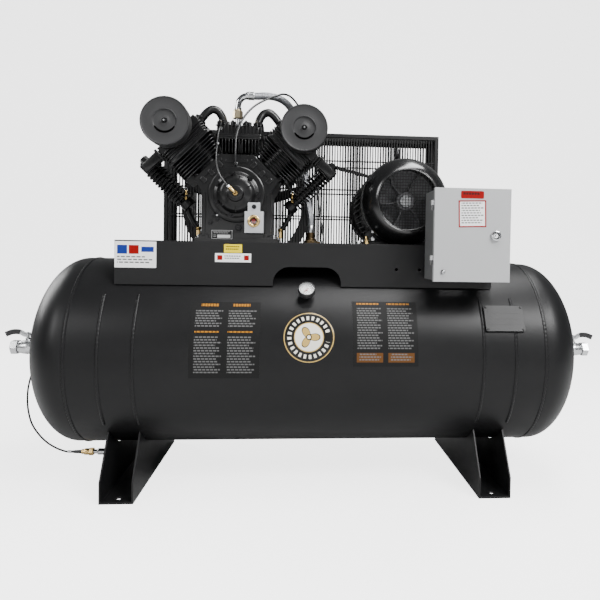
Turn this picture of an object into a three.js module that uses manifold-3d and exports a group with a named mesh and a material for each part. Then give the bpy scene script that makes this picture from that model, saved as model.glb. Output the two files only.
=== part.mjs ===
// A stationary two-stage air compressor: a W-type three-cylinder pump and an electric motor on a
// deck plate over a long horizontal air tank, joined by two V-belts inside a wire belt guard, with
// a control cabinet on the front of the deck.
// Millimetres, +Z up, +X along the tank, -Y towards the operator, the floor at Z = 0.

import * as THREE from 'three';
import { mergeVertices } from 'three/addons/utils/BufferGeometryUtils.js';
import Module from 'manifold-3d';

const wasm = await Module();
wasm.setup();

// ---------------------------------------------------------------- driving dimensions

const GAP = 0.3; // clearance between touching pieces
const DIAGONAL = Math.SQRT1_2;

const tank = { radius: 305, wall: 6, axisZ: 420, shellHalf: 716, flange: 24, headDepth: 152.5 };
const leg = { x: 572, width: 100, halfDepth: 282, toeHeight: 65, sheet: 5, saddleAngle: 42, boltY: 252 };
const deck = { left: -602, right: 570, halfDepth: 211, top: 782, sheet: 6, skirtBottom: 646.6 };
const arch = { left: -122, right: 89, top: 706, corner: 50 };
const gauge = { x: -18, angle: 49.5, radius: 26, bore: 23, back: 322, dial: 333, front: 345 };
const valve = { stemX: 950, endX: 1002, tipX: 1026, leverZ: 40 };
const drain = { x: -664, z: 62 };

const pump = { x: -248, y: 20, z: 938 }; // crank axis, and the middle of the crankpin
const crank = { throw: 38, rod: 140, rodWidth: 16, rodPitch: 18, pinRadius: 19, journal: 22 };
const casing = { deck: 130, halfWidth: 112, front: -125, rear: 115, wall: 12 };
const low = { piston: 44.6, bore: 45, barrel: 56, spigot: 50, top: 222, half: 88, depth: 84 };
const high = { piston: 24.6, bore: 25, barrel: 36, spigot: 31, top: 200, half: 78, depth: 70 };
const cooler = { offset: 142, core: 14, fin: 33, bottom: 118, top: 272 };
const filter = { along: 307, radius: 76, front: -180, back: -122, neckAlong: 281, neck: 22 };
const sight = { left: 31, right: 91, bottom: -126, top: -57, front: -172, back: -140 };

const wheel = { front: 285, rear: 350, outer: 252, rimInner: 214, hub: 46 };
const pulley = { outer: 134, hub: 38 };
const belt = { pitchBig: 244, pitchSmall: 126, half: 5.5, width: 12.5, y: [307, 329] };
const groove = { depth: 16, mouth: 19, floor: 12 };

const motor = { x: 296, z: 922, core: 122, fins: 137, bore: 84, front: -116, rear: 150, shaft: 19 };
const fanCover = { radius: 139, grille: 95, front: -222, shoulder: -160, sheet: 2.5 };
const guard = { left: -566, right: 509, front: 261, rear: 430, bottom: 660, top: 1226, sheet: 3, lip: 15 };
const cabinet = { left: 346, right: 572, front: -361, back: -226, bottom: 673, top: 945, sheet: 2.5 };
const hinge = { x: 341.5, y: -346, radius: 4 };
const latch = { x: 520, z: 808, radius: 15, proud: 9 };
const resetButton = { x: 373, z: 701, radius: 6, proud: 6 };

const frontmost = cabinet.front - latch.proud;
const centreY = (frontmost + guard.rear) / 2;

// ---------------------------------------------------------------- finishes

function finish(color, roughness, metalness) {
  return new THREE.MeshStandardMaterial({ color, roughness, metalness });
}

const blackPaint = finish(0x1c1c1d, 0.55, 0.1);
const castBlack = finish(0x141415, 0.6, 0.2);
const greyPaint = finish(0xb9bbbb, 0.5, 0.1);
const steel = finish(0xa6a9ab, 0.35, 0.9);
const brass = finish(0xc39a4b, 0.35, 0.9);
const alloy = finish(0xbfc2c4, 0.4, 0.8);
const rubber = finish(0x161616, 0.85, 0);
const plastic = finish(0x232425, 0.5, 0);
const dialWhite = finish(0xe9e8e2, 0.5, 0);
const redPlastic = finish(0x8e1512, 0.4, 0);

// ---------------------------------------------------------------- solids, joined and cut

/** Signed volume of a closed indexed mesh: positive when its faces point out. */
function signedVolume(position, index) {
  let sum = 0;
  const a = new THREE.Vector3();
  const b = new THREE.Vector3();
  const c = new THREE.Vector3();
  for (let i = 0; i < index.length; i += 3) {
    a.fromArray(position, 3 * index[i]);
    b.fromArray(position, 3 * index[i + 1]);
    c.fromArray(position, 3 * index[i + 2]);
    sum += a.dot(b.cross(c));
  }
  return sum / 6;
}

/** A closed geometry as a manifold solid, with slivers on an axis dropped and its faces out. */
function toSolid(geometry) {
  const bare = geometry.clone();
  const isCut = !bare.attributes.normal;
  bare.deleteAttribute('normal');
  bare.deleteAttribute('uv');
  const merged = isCut ? bare : mergeVertices(bare, 1e-3);
  const position = Float32Array.from(merged.attributes.position.array);
  const whole = merged.index.array;
  const kept = [];
  for (let i = 0; i < whole.length; i += 3) {
    const [a, b, c] = [whole[i], whole[i + 1], whole[i + 2]];
    if (a !== b && b !== c && c !== a) kept.push(a, b, c);
  }
  if (signedVolume(position, kept) < 0) kept.reverse();
  const mesh = { numProp: 3, vertProperties: position, triVerts: Uint32Array.from(kept) };
  return new wasm.Manifold(new wasm.Mesh(mesh));
}

/** A manifold solid as a geometry with flat-shaded faces. */
function toGeometry(solid) {
  const mesh = solid.getMesh();
  const geometry = new THREE.BufferGeometry();
  geometry.setAttribute('position', new THREE.BufferAttribute(Float32Array.from(mesh.vertProperties), 3));
  geometry.setIndex(new THREE.BufferAttribute(Uint32Array.from(mesh.triVerts), 1));
  return geometry;
}

function join(...pieces) {
  return toGeometry(pieces.map(toSolid).reduce((whole, next) => whole.add(next)));
}

function cut(body, ...tools) {
  return toGeometry(tools.map(toSolid).reduce((whole, tool) => whole.subtract(tool), toSolid(body)));
}

// ---------------------------------------------------------------- shapes

const toAxis = {
  x: new THREE.Matrix4().makeBasis(
    new THREE.Vector3(0, 1, 0), new THREE.Vector3(0, 0, 1), new THREE.Vector3(1, 0, 0)),
  y: new THREE.Matrix4().makeRotationX(Math.PI / 2),
  z: new THREE.Matrix4(),
};

/** A box between two corners. */
function box([x0, y0, z0], [x1, y1, z1]) {
  const geometry = new THREE.BoxGeometry(x1 - x0, y1 - y0, z1 - z0);
  return geometry.translate((x0 + x1) / 2, (y0 + y1) / 2, (z0 + z1) / 2);
}

/** An outline swept straight along an axis. On x the outline is (y, z), on y (x, z), on z (x, y). */
function plate(axis, outline, from, to, curveSegments = 8) {
  const shape = outline instanceof THREE.Shape ? outline : outlineOf(outline);
  const geometry = new THREE.ExtrudeGeometry(shape, { depth: to - from, bevelEnabled: false, curveSegments });
  geometry.applyMatrix4(toAxis[axis]);
  const start = axis === 'y' ? to : from;
  return geometry.translate(axis === 'x' ? start : 0, axis === 'y' ? start : 0, axis === 'z' ? start : 0);
}

function outlineOf(points) {
  return new THREE.Shape(points.map(([x, y]) => new THREE.Vector2(x, y)));
}

/** A regular polygon with its corners on a circle, drawn counter-clockwise. */
function polygon(sides, radius, [cx, cy] = [0, 0], turn = 0) {
  return Array.from({ length: sides }, (_, i) => {
    const angle = turn + (2 * Math.PI * i) / sides;
    return [cx + radius * Math.cos(angle), cy + radius * Math.sin(angle)];
  });
}

/** A rectangle whose corners are rounded. */
function roundedRectangle(x0, y0, x1, y1, r) {
  const shape = new THREE.Shape();
  shape.absarc(x1 - r, y0 + r, r, -Math.PI / 2, 0);
  shape.absarc(x1 - r, y1 - r, r, 0, Math.PI / 2);
  shape.absarc(x0 + r, y1 - r, r, Math.PI / 2, Math.PI);
  shape.absarc(x0 + r, y0 + r, r, Math.PI, 1.5 * Math.PI);
  return shape;
}

/** A profile of [radius, distance] points turned about an axis through the origin. */
function turned(axis, profile, segments = 16) {
  const points = profile.map(([r, d]) => new THREE.Vector2(r, d));
  const geometry = new THREE.LatheGeometry(points, segments);
  if (axis === 'x') geometry.rotateZ(-Math.PI / 2);
  if (axis === 'z') geometry.rotateX(Math.PI / 2);
  return geometry;
}

/** A round bar along an axis, between two distances on it. */
function bar(axis, radius, from, to, segments = 12) {
  return turned(axis, [[0, from], [radius, from], [radius, to], [0, to]], segments);
}

/** A hexagonal bar along an axis. */
function hexBar(axis, radius, from, to) {
  return bar(axis, radius, from, to, 6);
}

/** A ring along an axis: a round bar with a round hole. */
function ring(axis, outer, inner, from, to, segments = 16) {
  const profile = [[inner, from], [outer, from], [outer, to], [inner, to], [inner, from]];
  return turned(axis, profile, segments);
}

/** A round section swept along a smooth curve through points. */
function tube(points, radius, sides, steps) {
  const curve = new THREE.CatmullRomCurve3(points.map((p) => new THREE.Vector3(...p)), false, 'centripetal');
  return new THREE.ExtrudeGeometry(outlineOf(polygon(sides, radius)), { steps, extrudePath: curve });
}

function moved(geometry, x, y, z) {
  return geometry.translate(x, y, z);
}

// ---------------------------------------------------------------- the scene graph

const compressor = new THREE.Group();
compressor.position.y = -centreY;

function group(parent, x = 0, y = 0, z = 0) {
  const made = new THREE.Group();
  made.position.set(x, y, z);
  parent.add(made);
  return made;
}

/** Adds one named piece, made a closed solid with its faces out. */
function part(parent, name, geometry, material) {
  const mesh = new THREE.Mesh(toGeometry(toSolid(geometry)), material);
  mesh.name = name;
  parent.add(mesh);
}

// ---------------------------------------------------------------- tank

/** A quarter of an ellipse from its rim to its crown, as [radius, distance] points. */
function quarterEllipse(radius, depth, start, lastRadius, steps = 4) {
  const last = Math.acos(lastRadius / radius);
  return Array.from({ length: steps + 1 }, (_, i) => {
    const angle = (last * i) / steps;
    return [radius * Math.cos(angle), start + depth * Math.sin(angle)];
  });
}

function tankShell() {
  const { radius, wall, shellHalf } = tank;
  const shell = ring('x', radius, radius - wall, -shellHalf, shellHalf, 36);
  const gaugePort = moved(bar('z', 8, 280, 320, 12).rotateX(THREE.MathUtils.degToRad(gauge.angle)), gauge.x, 0, 0);
  const drainPort = moved(bar('z', 11, -320, -280, 12), drain.x, 0, 0);
  const inletPort = moved(bar('z', 17, 220, 320, 16), 0, 150, 0);
  const switchPort = moved(bar('z', 8, 280, 320, 12).rotateX(-Math.PI / 3), -420, 0, 0);
  return cut(shell, gaugePort, drainPort, inletPort, switchPort);
}

/** A 2:1 elliptical tank head with a straight flange and a threaded boss in its crown. */
function tankHead() {
  const { radius, wall, flange, headDepth } = tank;
  const port = 17;
  const outside = quarterEllipse(radius, headDepth, flange, port);
  const inside = quarterEllipse(radius - wall, headDepth - wall, flange, port).reverse();
  return turned('x', [[radius, 0], ...outside, ...inside, [radius - wall, 0], [radius, 0]], 24);
}

function legChannel() {
  const { width, halfDepth, toeHeight, sheet, saddleAngle, boltY } = leg;
  const saddle = tank.radius + 1;
  const turn = THREE.MathUtils.degToRad(saddleAngle);
  const side = new THREE.Shape();
  side.moveTo(-halfDepth, 0);
  side.lineTo(halfDepth, 0);
  side.lineTo(halfDepth, toeHeight);
  side.absarc(0, tank.axisZ, saddle, -Math.PI / 2 + turn, -Math.PI / 2 - turn, true);
  side.lineTo(-halfDepth, toeHeight);
  const foot = box([-width / 2, -halfDepth, 0], [width / 2, halfDepth, sheet + 1]);
  const left = plate('x', side, -width / 2, -width / 2 + sheet, 10);
  const right = plate('x', side, width / 2 - sheet, width / 2, 10);
  const holes = [-boltY, boltY].map((y) => moved(bar('z', 10, -1, sheet + 2, 10), 0, y, 0));
  return cut(join(foot, left, right), ...holes);
}

function deckPlate() {
  const { left, right, halfDepth: outer, top, sheet, skirtBottom } = deck;
  const inner = outer - sheet;
  const section = [
    [-outer, skirtBottom], [-inner, skirtBottom], [-inner, top - sheet], [inner, top - sheet],
    [inner, skirtBottom], [outer, skirtBottom], [outer, top], [-outer, top],
  ];
  const cutout = roundedRectangle(arch.left, skirtBottom - 100, arch.right, arch.top, arch.corner);
  const archCut = plate('y', cutout, -outer - 5, -inner + 5, 6);
  const inletHole = moved(bar('z', 30, top - 20, top + 5, 16), 0, 150, 0);
  const skirtHoles = [264, 338].map((x) => moved(bar('y', 5, -outer - 5, -inner + 5, 10), x, 0, 703));
  return cut(plate('x', section, left, right), archCut, inletHole, ...skirtHoles);
}

part(group(compressor, 0, 0, tank.axisZ), 'tank_shell', tankShell(), blackPaint);
for (const [side, name] of [[-1, 'left'], [1, 'right']]) {
  const head = group(compressor, side * (tank.shellHalf + GAP), 0, tank.axisZ);
  head.rotation.z = side < 0 ? Math.PI : 0;
  part(head, `tank_head_${name}`, tankHead(), blackPaint);
  part(group(compressor, side * leg.x), `leg_${name}`, legChannel(), blackPaint);
}
part(compressor, 'deck', deckPlate(), blackPaint);

// ---------------------------------------------------------------- tank fittings

/** Gauge case: stem, cup and dial face, with the rim standing proud of the dial. */
function gaugeCase() {
  const { radius, bore, back, dial, front } = gauge;
  return turned('z', [
    [0, 300], [7.5, 300], [7.5, back - 6], [12, back - 6], [12, back], [radius, back + 3],
    [radius, front], [bore, front], [bore, dial], [0, dial],
  ]);
}

/** Pointer that lies along its own +X, with a short tail and a hub on the dial's centre. */
function gaugeNeedle() {
  const pointer = outlineOf([[-7, -1.5], [18, -0.5], [18, 0.5], [-7, 1.5]]);
  const level = gauge.dial + 2;
  return join(bar('z', 3.5, gauge.dial + GAP, level + 2, 12), plate('z', pointer, level, level + 1.2));
}

/** Ball valve body, outwards along +X from the tank head's crown. */
function valveBody() {
  const crown = tank.shellHalf + tank.flange + tank.headDepth;
  const blank = join(
    bar('x', 16.4, crown - 20, crown + 24),
    hexBar('x', 25, crown + 22, crown + 40),
    bar('x', 22, crown + 38, valve.endX - 22),
    hexBar('x', 25, valve.endX - 24, valve.endX),
    moved(bar('z', 9, 0, valve.leverZ - 8, 10), valve.stemX, 0, 0),
  );
  return cut(blank, bar('x', 13, valve.endX - 34, valve.endX + 1));
}

/** Valve stem and its bent sheet lever, which lies along the pipe when the valve is open. */
function valveLever() {
  const { stemX, tipX, leverZ } = valve;
  const side = [
    [stemX - 9, leverZ], [stemX + 9, leverZ], [stemX + 28, leverZ + 9], [stemX + 52, leverZ + 8],
    [tipX, leverZ - 2], [tipX, leverZ + 2], [stemX + 52, leverZ + 12], [stemX + 26, leverZ + 13],
    [stemX + 8, leverZ + 4], [stemX - 9, leverZ + 4],
  ];
  const stem = moved(bar('z', 5, leverZ - 8 + GAP, leverZ + 1, 12), stemX, 0, 0);
  const nut = moved(hexBar('z', 7, leverZ + 3, leverZ + 9), stemX, 0, 0);
  return join(plate('y', side, -8, 8), stem, nut);
}

/** Drain elbow under the tank, then a nipple, a strainer and a tube nut towards -X. */
function drainFitting() {
  const run = [
    [0, 0], [10, 0], [10, 22], [8, 22], [8, 30], [11, 30], [11, 62], [7, 62], [7, 76],
    [13, 76], [13, 106], [9, 106], [9, 116], [5, 140], [3.6, 152], [0, 152],
  ];
  const along = turned('x', run, 8).rotateZ(Math.PI);
  return join(
    moved(along, drain.x + 8, 0, drain.z),
    moved(bar('z', 10, drain.z - 12, tank.axisZ - tank.radius + 8, 14), drain.x, 0, 0),
    moved(hexBar('z', 14, drain.z - 14, drain.z + 18), drain.x, 0, 0),
  );
}

/** Body of the pressure switch on its stem, radially out from the back of the tank. */
function pressureSwitch() {
  return join(
    bar('z', 7.5, 300, 342, 14),
    hexBar('z', 13, 322, 336),
    plate('z', roundedRectangle(-46, -30, 46, 30, 8), 340, 404, 2),
    moved(bar('x', 6, -66, -40, 12), 0, 0, 366),
  );
}

/** Check valve: nipple into the tank, hexagonal body through the deck, hose spigot on top. */
function checkValve() {
  return join(
    bar('z', 16, 670, 724, 16),
    hexBar('z', 26, 722, 800),
    bar('z', 14, 798, 830, 16),
    moved(bar('x', 7, 20, 36, 12), 0, 0, 790),
  );
}

const gaugeGroup = group(compressor, gauge.x, 0, tank.axisZ);
gaugeGroup.rotation.x = THREE.MathUtils.degToRad(gauge.angle);
part(gaugeGroup, 'gauge_case', gaugeCase(), dialWhite);
const needleGroup = group(gaugeGroup);
needleGroup.rotation.z = THREE.MathUtils.degToRad(225);
part(needleGroup, 'gauge_needle', gaugeNeedle(), redPlastic);

for (const [turn, name] of [[0, 'right'], [Math.PI, 'left']]) {
  const outlet = group(compressor, 0, 0, tank.axisZ);
  outlet.rotation.z = turn;
  part(outlet, `${name}_valve_body`, valveBody(), steel);
  part(outlet, `${name}_valve_lever`, valveLever(), steel);
}

const drainTubeRoute = [
  [drain.x + 8 - 152 - GAP, 0, drain.z], [-820, 0, drain.z], [-840, 1, 67], [-868, 5, 78], [-896, 11, 94], [-925, 20, 118],
  [-954, 35, 150], [-973, 50, 195], [-982, 65, 235], [-986, 82, 270], [-984, 108, 315], [-972, 150, 370],
  [-940, 205, 430], [-890, 262, 485], [-820, 312, 532], [-740, 340, 568], [-650, 348, 592],
  [-560, 345, 603], [-515, 337, 604], [-486.5, 332, 603],
];
part(compressor, 'drain_fitting', drainFitting(), brass);
part(compressor, 'drain_tube', tube(drainTubeRoute, 3.2, 6, 30), plastic);
const switchGroup = group(compressor, -420, 0, tank.axisZ);
switchGroup.rotation.x = -Math.PI / 3;
part(switchGroup, 'pressure_switch', pressureSwitch(), plastic);
part(group(compressor, 0, 150), 'check_valve', checkValve(), brass);

// ---------------------------------------------------------------- pump

// Pump pieces are built about the crank axis. A cylinder's own +Z runs away from the crank; the
// right bank leans 45 degrees to +X, and +X of its own frame faces outwards and down. The left
// bank is the right bank's mirror image.

const bisector = Math.tan(Math.PI / 8); // neighbouring banks meet on a plane 22.5 degrees off each

const pumpGroup = group(compressor, pump.x, pump.y, pump.z);

/** A place given along and across the right bank's axis, as a point of the pump. */
function onRightBank(across, y, along) {
  return [(along + across) * DIAGONAL, y, (along - across) * DIAGONAL];
}

function mirrored(geometry) {
  return geometry.clone().scale(-1, 1, 1);
}

/** Outline of the crankcase seen from the front: three decks on an octagon, over straight sides. */
function casingOutline(deckDistance, half, shoulder, foot, skirt) {
  const corner = deckDistance * bisector;
  const [shoulderX, , shoulderZ] = onRightBank(shoulder, 0, deckDistance);
  const right = [
    [half, foot], [half, skirt], [shoulderX, shoulderZ], [corner, deckDistance],
  ];
  const left = right.map(([x, z]) => [-x, z]).reverse();
  return [...right, ...left];
}

function crankcase() {
  const { deck: face, halfWidth, front, rear, wall } = casing;
  const floor = deck.top - pump.z + GAP;
  const shell = plate('y', casingOutline(face, halfWidth, 62, floor, 10), front, rear);
  const foot = box([-halfWidth - 20, front - 5, floor], [halfWidth + 20, rear + 5, floor + 14]);
  const hollow = plate('y',
    casingOutline(face - wall, halfWidth - wall, 50, floor + wall, 14), front + wall, rear - wall);
  const bankHole = (turn, radius, offset) =>
    moved(bar('z', radius, face - 40, face + 5, 24), 0, offset, 0).rotateY(turn);
  return cut(
    join(shell, foot),
    hollow,
    bar('y', 62, front - 1, front + wall + 1, 24),
    bar('y', 56, rear - wall - 1, rear + 6, 24),
    bankHole(-Math.PI / 4, low.spigot + 1, -crank.rodPitch),
    bankHole(Math.PI / 4, low.spigot + 1, crank.rodPitch),
    bankHole(0, high.spigot + 1, 0),
  );
}

/** Front bearing cover: bolted flange, domed bell and a boss bored for the breather elbow. */
function frontCover() {
  const face = casing.front - GAP;
  const profile = [
    [crank.journal + 0.6, face + 30], [61, face + 30], [61, face], [74, face], [74, face - 11], [62, face - 14],
    [54, face - 24], [30, face - 28], [24, face - 40], [8, face - 40], [8, face - 20],
    [crank.journal + 0.6, face - 14], [crank.journal + 0.6, face + 30],
  ];
  return turned('y', profile, 18);
}

function rearHousing() {
  const face = casing.rear + GAP;
  const hole = crank.journal + 0.6;
  return turned('y', [
    [hole, face - 24], [55, face - 24], [55, face], [76, face], [76, face + 12], [50, face + 16],
    [44, face + 80], [hole, face + 80], [hole, face - 24],
  ], 16);
}

/** Crankshaft: two journals, two webs with counterweights and one long pin for three rods. */
function crankshaft() {
  const web = new THREE.Shape();
  web.absarc(0, 0, 74, Math.PI + 0.35, 2 * Math.PI - 0.35);
  web.absarc(0, crank.throw, 22, -0.2, Math.PI + 0.2);
  const pinHalf = 28;
  const webEnd = pinHalf + 14;
  const tail = wheel.rear + 5 - pump.y;
  return join(
    plate('y', web, -webEnd, -pinHalf, 7),
    plate('y', web, pinHalf, webEnd, 7),
    moved(bar('y', crank.pinRadius, -pinHalf - 2, pinHalf + 2, 20), 0, 0, crank.throw),
    bar('y', crank.journal, casing.front - 8, -webEnd + 2, 16),
    bar('y', crank.journal, webEnd - 2, tail, 16),
  );
}

/** Connecting rod from its big end at the origin to its small end up its own +Z. */
function connectingRod() {
  const half = crank.rodWidth / 2;
  const shank = box([-8, -half, 20], [8, half, crank.rod - 10]);
  const bigEnd = bar('y', 29, -half, half, 18);
  const smallEnd = moved(bar('y', 15, -half, half, 14), 0, 0, crank.rod);
  return cut(
    join(shank, bigEnd, smallEnd),
    bar('y', crank.pinRadius + GAP, -half - 1, half + 1, 20),
    moved(bar('y', 9 + GAP, -half - 1, half + 1, 14), 0, 0, crank.rod),
  );
}

/** Piston about its wrist pin: a cup open towards the crank, with the pin across it. */
function piston(radius, crown, skirt) {
  const inside = radius - 6;
  const cup = turned('z', [
    [0, crown], [radius, crown], [radius, -skirt], [inside, -skirt], [inside, crown - 4.5], [0, crown - 4.5],
  ]);
  return join(cup, bar('y', 9, -radius + 3, radius - 3, 14));
}

/** Low-pressure cylinder: spigot, base flange, barrel with square fins, and a top flange. */
function lowCylinder() {
  const { bore, barrel, spigot, top, half, depth } = low;
  const base = casing.deck + GAP;
  const fins = [];
  for (let along = base + 24; along < top - 14; along += 16) {
    const inner = Math.min(half, along * bisector - 1.5);
    fins.push(plate('z', roundedRectangle(-inner, -depth, 92, depth, 18), along, along + 3.2, 2));
  }
  const blank = join(
    bar('z', spigot, 108, base + 2, 16),
    plate('z', roundedRectangle(-53.2, -62, 60, 62, 12), base, base + 12, 2),
    bar('z', barrel, base + 10, top - 4, 14),
    plate('z', roundedRectangle(-half, -depth, half, depth, 18), top - 8, top, 2),
    ...fins,
  );
  return cut(blank, bar('z', bore, 100, top + 1, 16));
}

/** High-pressure cylinder: base flange, barrel and upright fins hung from the top flange. */
function highCylinder() {
  const { bore, barrel, spigot, top, half, depth } = high;
  const base = casing.deck + GAP;
  const ribs = [];
  for (let x = -66; x <= 66; x += 33) {
    const bottom = Math.max(base + 16, (Math.abs(x) + 4) / bisector);
    ribs.push(box([x - 1.8, -depth + 3, bottom], [x + 1.8, depth - 3, top - 4]));
  }
  const blank = join(
    bar('z', spigot, 108, base + 2, 14),
    plate('z', roundedRectangle(-53.2, -52, 53.2, 52, 10), base, base + 12, 2),
    bar('z', barrel, base + 10, top - 4, 12),
    plate('z', roundedRectangle(-half, -depth, half, depth, 12), top - 8, top, 2),
    ...ribs,
  );
  return cut(blank, bar('z', bore, 100, top + 1, 16));
}

/** Low-pressure head: finned block with an inlet plenum and a port block on each side. */
function lowHead() {
  const { half, depth } = low;
  const base = low.top + GAP;
  const crown = 300;
  const ribs = [];
  for (let y = -70; y <= 70; y += 35) {
    ribs.push(box([-half + 6, y - 2, base + 36], [half - 6, y + 2, crown - 6]));
  }
  return join(
    plate('z', roundedRectangle(-half, -depth + 2, half, depth - 2, 14), base, base + 40, 2),
    box([-38, -depth, base + 38], [38, 60, crown]),
    box([-half, -20, base + 38], [half, 20, crown]),
    ...ribs,
  );
}

/** High-pressure head: finned block with two inlet bosses and the discharge boss. */
function highHead() {
  const { half, depth } = high;
  const base = high.top + GAP;
  const ribs = [];
  for (let x = -72; x <= 72; x += 36) ribs.push(box([x - 1.8, -depth + 4, base + 36], [x + 1.8, depth - 4, 247]));
  return join(
    plate('z', roundedRectangle(-half - 1, -depth, half + 1, depth, 12), base, base + 38, 2),
    ...[-1, 1].map((side) => moved(bar('z', 19, base + 36, 250, 14), side * 60, 0, 0)),
    moved(bar('z', 14, base + 36, 250, 12), -12, 0, 0),
    ...ribs,
  );
}

/** Finned intercooler beside a low-pressure bank, with its header, sump, relief valve and drain cock. */
function intercooler() {
  const { offset, core, fin, bottom, top } = cooler;
  const profile = [[0, bottom], [core, bottom]];
  for (let along = bottom + 10; along < top - 8; along += 28) {
    profile.push([core, along], [fin, along], [fin, along + 4], [core, along + 4]);
  }
  profile.push([core, top + 2], [0, top + 2]);
  const relief = moved(bar('z', 5.5, 14, 46, 10).rotateY(-Math.PI / 4), offset, 0, 106);
  const route = [[offset, 0, 106], [158, 0, 88], [167, 0, 64], [173, 0, 42], [176, 0, 22]];
  return join(
    moved(turned('z', profile, 10), offset, 0, 0),
    box([low.half + GAP, -20, top], [offset + 28, 20, top + 32]),
    moved(hexBar('z', 15, top + 30, top + 50), offset, 0, 0),
    moved(bar('z', 24, 92, bottom + 2, 10), offset, 0, 0),
    relief,
    tube(route, 8.5, 6, 5),
    moved(hexBar('z', 7, -26, 6).rotateY(-Math.PI / 4), 176, 0, 22),
  );
}

/** Bent pipe from a low-pressure head's inner side over to the top of the high-pressure head. */
function crossoverPipe() {
  const offset = crank.rodPitch;
  const start = onRightBank(-low.half - GAP, offset, 283);
  const [x, , z] = start;
  const route = [
    start, [x - 9, offset, z + 9], [x - 24, offset - 2, z + 27], [97, offset - 7, 301], [79, 8, 297],
    [66, 3, 280], [60, 0, 262], [60, 0, 250 + GAP],
  ];
  const foot = moved(plate('z', roundedRectangle(-17, -26, 17, 26, 8), 250 + GAP, 257, 2), 60, 0, 0);
  const flange = moved(
    bar('z', 21, 0, 7, 12).rotateY(-Math.PI / 4), ...onRightBank(-low.half - GAP, offset, 283));
  return join(tube(route, 14, 8, 8), foot, flange);
}

/** Air filter canister with a stamped ring on its face and a neck back to the head's plenum. */
function airFilter() {
  const { along, radius, front, back, neckAlong, neck } = filter;
  const canister = moved(turned('y', [
    [0, front - 6], [6, front - 6], [6, front + 2], [30, front + 2], [36, front + 6],
    [43, front], [radius - 3, front], [radius, front + 3], [radius, back], [0, back],
  ], 20), 0, 0, along);
  return join(canister, moved(bar('y', neck, back - 4, -low.depth - GAP), 0, 0, neckAlong));
}

/** Discharge riser: pipe stub, brass union nut and a chrome elbow turned to the right. */
function dischargeElbow() {
  const route = [[-12, 0, 296], [-12, 0, 318], [-8, 0, 334], [3, 0, 348], [18, 0, 354], [32, 0, 355], [46, 0, 355]];
  return join(
    moved(bar('z', 8, 250 + GAP, 276, 14), -12, 0, 0),
    moved(hexBar('z', 18, 274, 302), -12, 0, 0),
    tube(route, 11, 8, 8),
    moved(bar('x', 14.5, 24, 44, 16), 0, 0, 355),
  );
}

/** Oil sight glass: a pale block bolted over the cover's edge, with its round window's rim. */
function oilSight() {
  const { left, right, bottom, top, front, back } = sight;
  const window = [(left + right) / 2 - 1, -88];
  return join(
    box([left, front, bottom], [right, back, top]),
    box([left + 9, front + 10, top - 2], [right - 12, front + 20.5, -28]),
    moved(bar('y', 20, casing.front - GAP, back - 1, 20), ...[window[0], 0, -100]),
    moved(ring('y', 20, 8, front - 8, front + 1), window[0], 0, window[1]),
    moved(bar('y', 5, front + 8, front + 14, 12), window[0], 0, -42),
  );
}

part(pumpGroup, 'crankcase', crankcase(), castBlack);
part(pumpGroup, 'front_bearing_cover', frontCover(), castBlack);
part(pumpGroup, 'rear_bearing_housing', rearHousing(), castBlack);
part(pumpGroup, 'crankshaft', crankshaft(), steel);
part(pumpGroup, 'oil_sight', oilSight(), alloy);

const lowDrop = crank.throw * DIAGONAL;
const lowPin = lowDrop + Math.sqrt(crank.rod ** 2 - lowDrop ** 2);
const highPin = crank.throw + crank.rod;
const [lowPinX, , lowPinZ] = onRightBank(0, 0, lowPin);
const lowRodTurn = Math.atan2(lowPinX, lowPinZ - crank.throw);

for (const [side, name] of [[-1, 'left'], [1, 'right']]) {
  const offset = side * crank.rodPitch;
  const bank = group(pumpGroup, 0, offset, 0);
  bank.rotation.y = (side * Math.PI) / 4;
  const handed = (geometry) => (side < 0 ? mirrored(geometry) : geometry);
  part(bank, `cylinder_${name}`, handed(lowCylinder()), castBlack);
  part(bank, `head_${name}`, handed(lowHead()), castBlack);
  part(bank, `intercooler_${name}`, handed(intercooler()), castBlack);
  part(bank, `air_filter_${name}`, handed(airFilter()), castBlack);
  part(group(bank, 0, 0, lowPin), `piston_${name}`, piston(low.piston, 28, 22), alloy);
  const rod = group(pumpGroup, 0, offset, crank.throw);
  rod.rotation.y = side * lowRodTurn;
  part(rod, `rod_${name}`, connectingRod(), alloy);
  const crossover = crossoverPipe();
  if (side < 0) crossover.rotateZ(Math.PI);
  part(pumpGroup, `crossover_pipe_${name}`, crossover, castBlack);
}
part(pumpGroup, 'cylinder_centre', highCylinder(), castBlack);
part(pumpGroup, 'head_centre', highHead(), castBlack);
part(group(pumpGroup, 0, 0, highPin), 'piston_centre', piston(high.piston, 20, 22), alloy);
part(group(pumpGroup, 0, 0, crank.throw), 'rod_centre', connectingRod(), alloy);
part(pumpGroup, 'discharge_elbow', dischargeElbow(), steel);

// Lines from the pump, as points of the pump: the discharge hose runs over the right bank and
// down behind it to the check valve, the unloader tube follows it, and the breather tube joins
// the high-pressure head to the front cover's boss.
const valveX = -pump.x;
const valveY = 150 - pump.y;
const hoseRoute = [
  [46 + GAP, 0, 355], [60, 0, 355], [80, 1, 357], [118, 12, 356], [153, 40, 346], [186, 85, 312], [210, 130, 252],
  [222, 160, 172], [230, 172, 72], [240, 160, -10], [valveX, valveY + 8, -52], [valveX, valveY, -88],
  [valveX, valveY, 830 + GAP - pump.z],
];
const unloaderRoute = [
  [-3, casing.front - GAP, 96], [-3, -131, 96], [-3, -138, 116], [-1, -128, 194], [20, -106, 256],
  [50, -88, 296], [85, -68, 324], [118, -42, 345], [145, -12, 362], [172, 24, 362], [206, 72, 332],
  [238, 118, 280], [258, 150, 220], [266, 172, 150], [272, 178, 60], [282, 170, -20], [292, 152, -90],
  [297, 134, -138], [291, valveY, -147], [284.5, valveY, -148],
];
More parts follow.
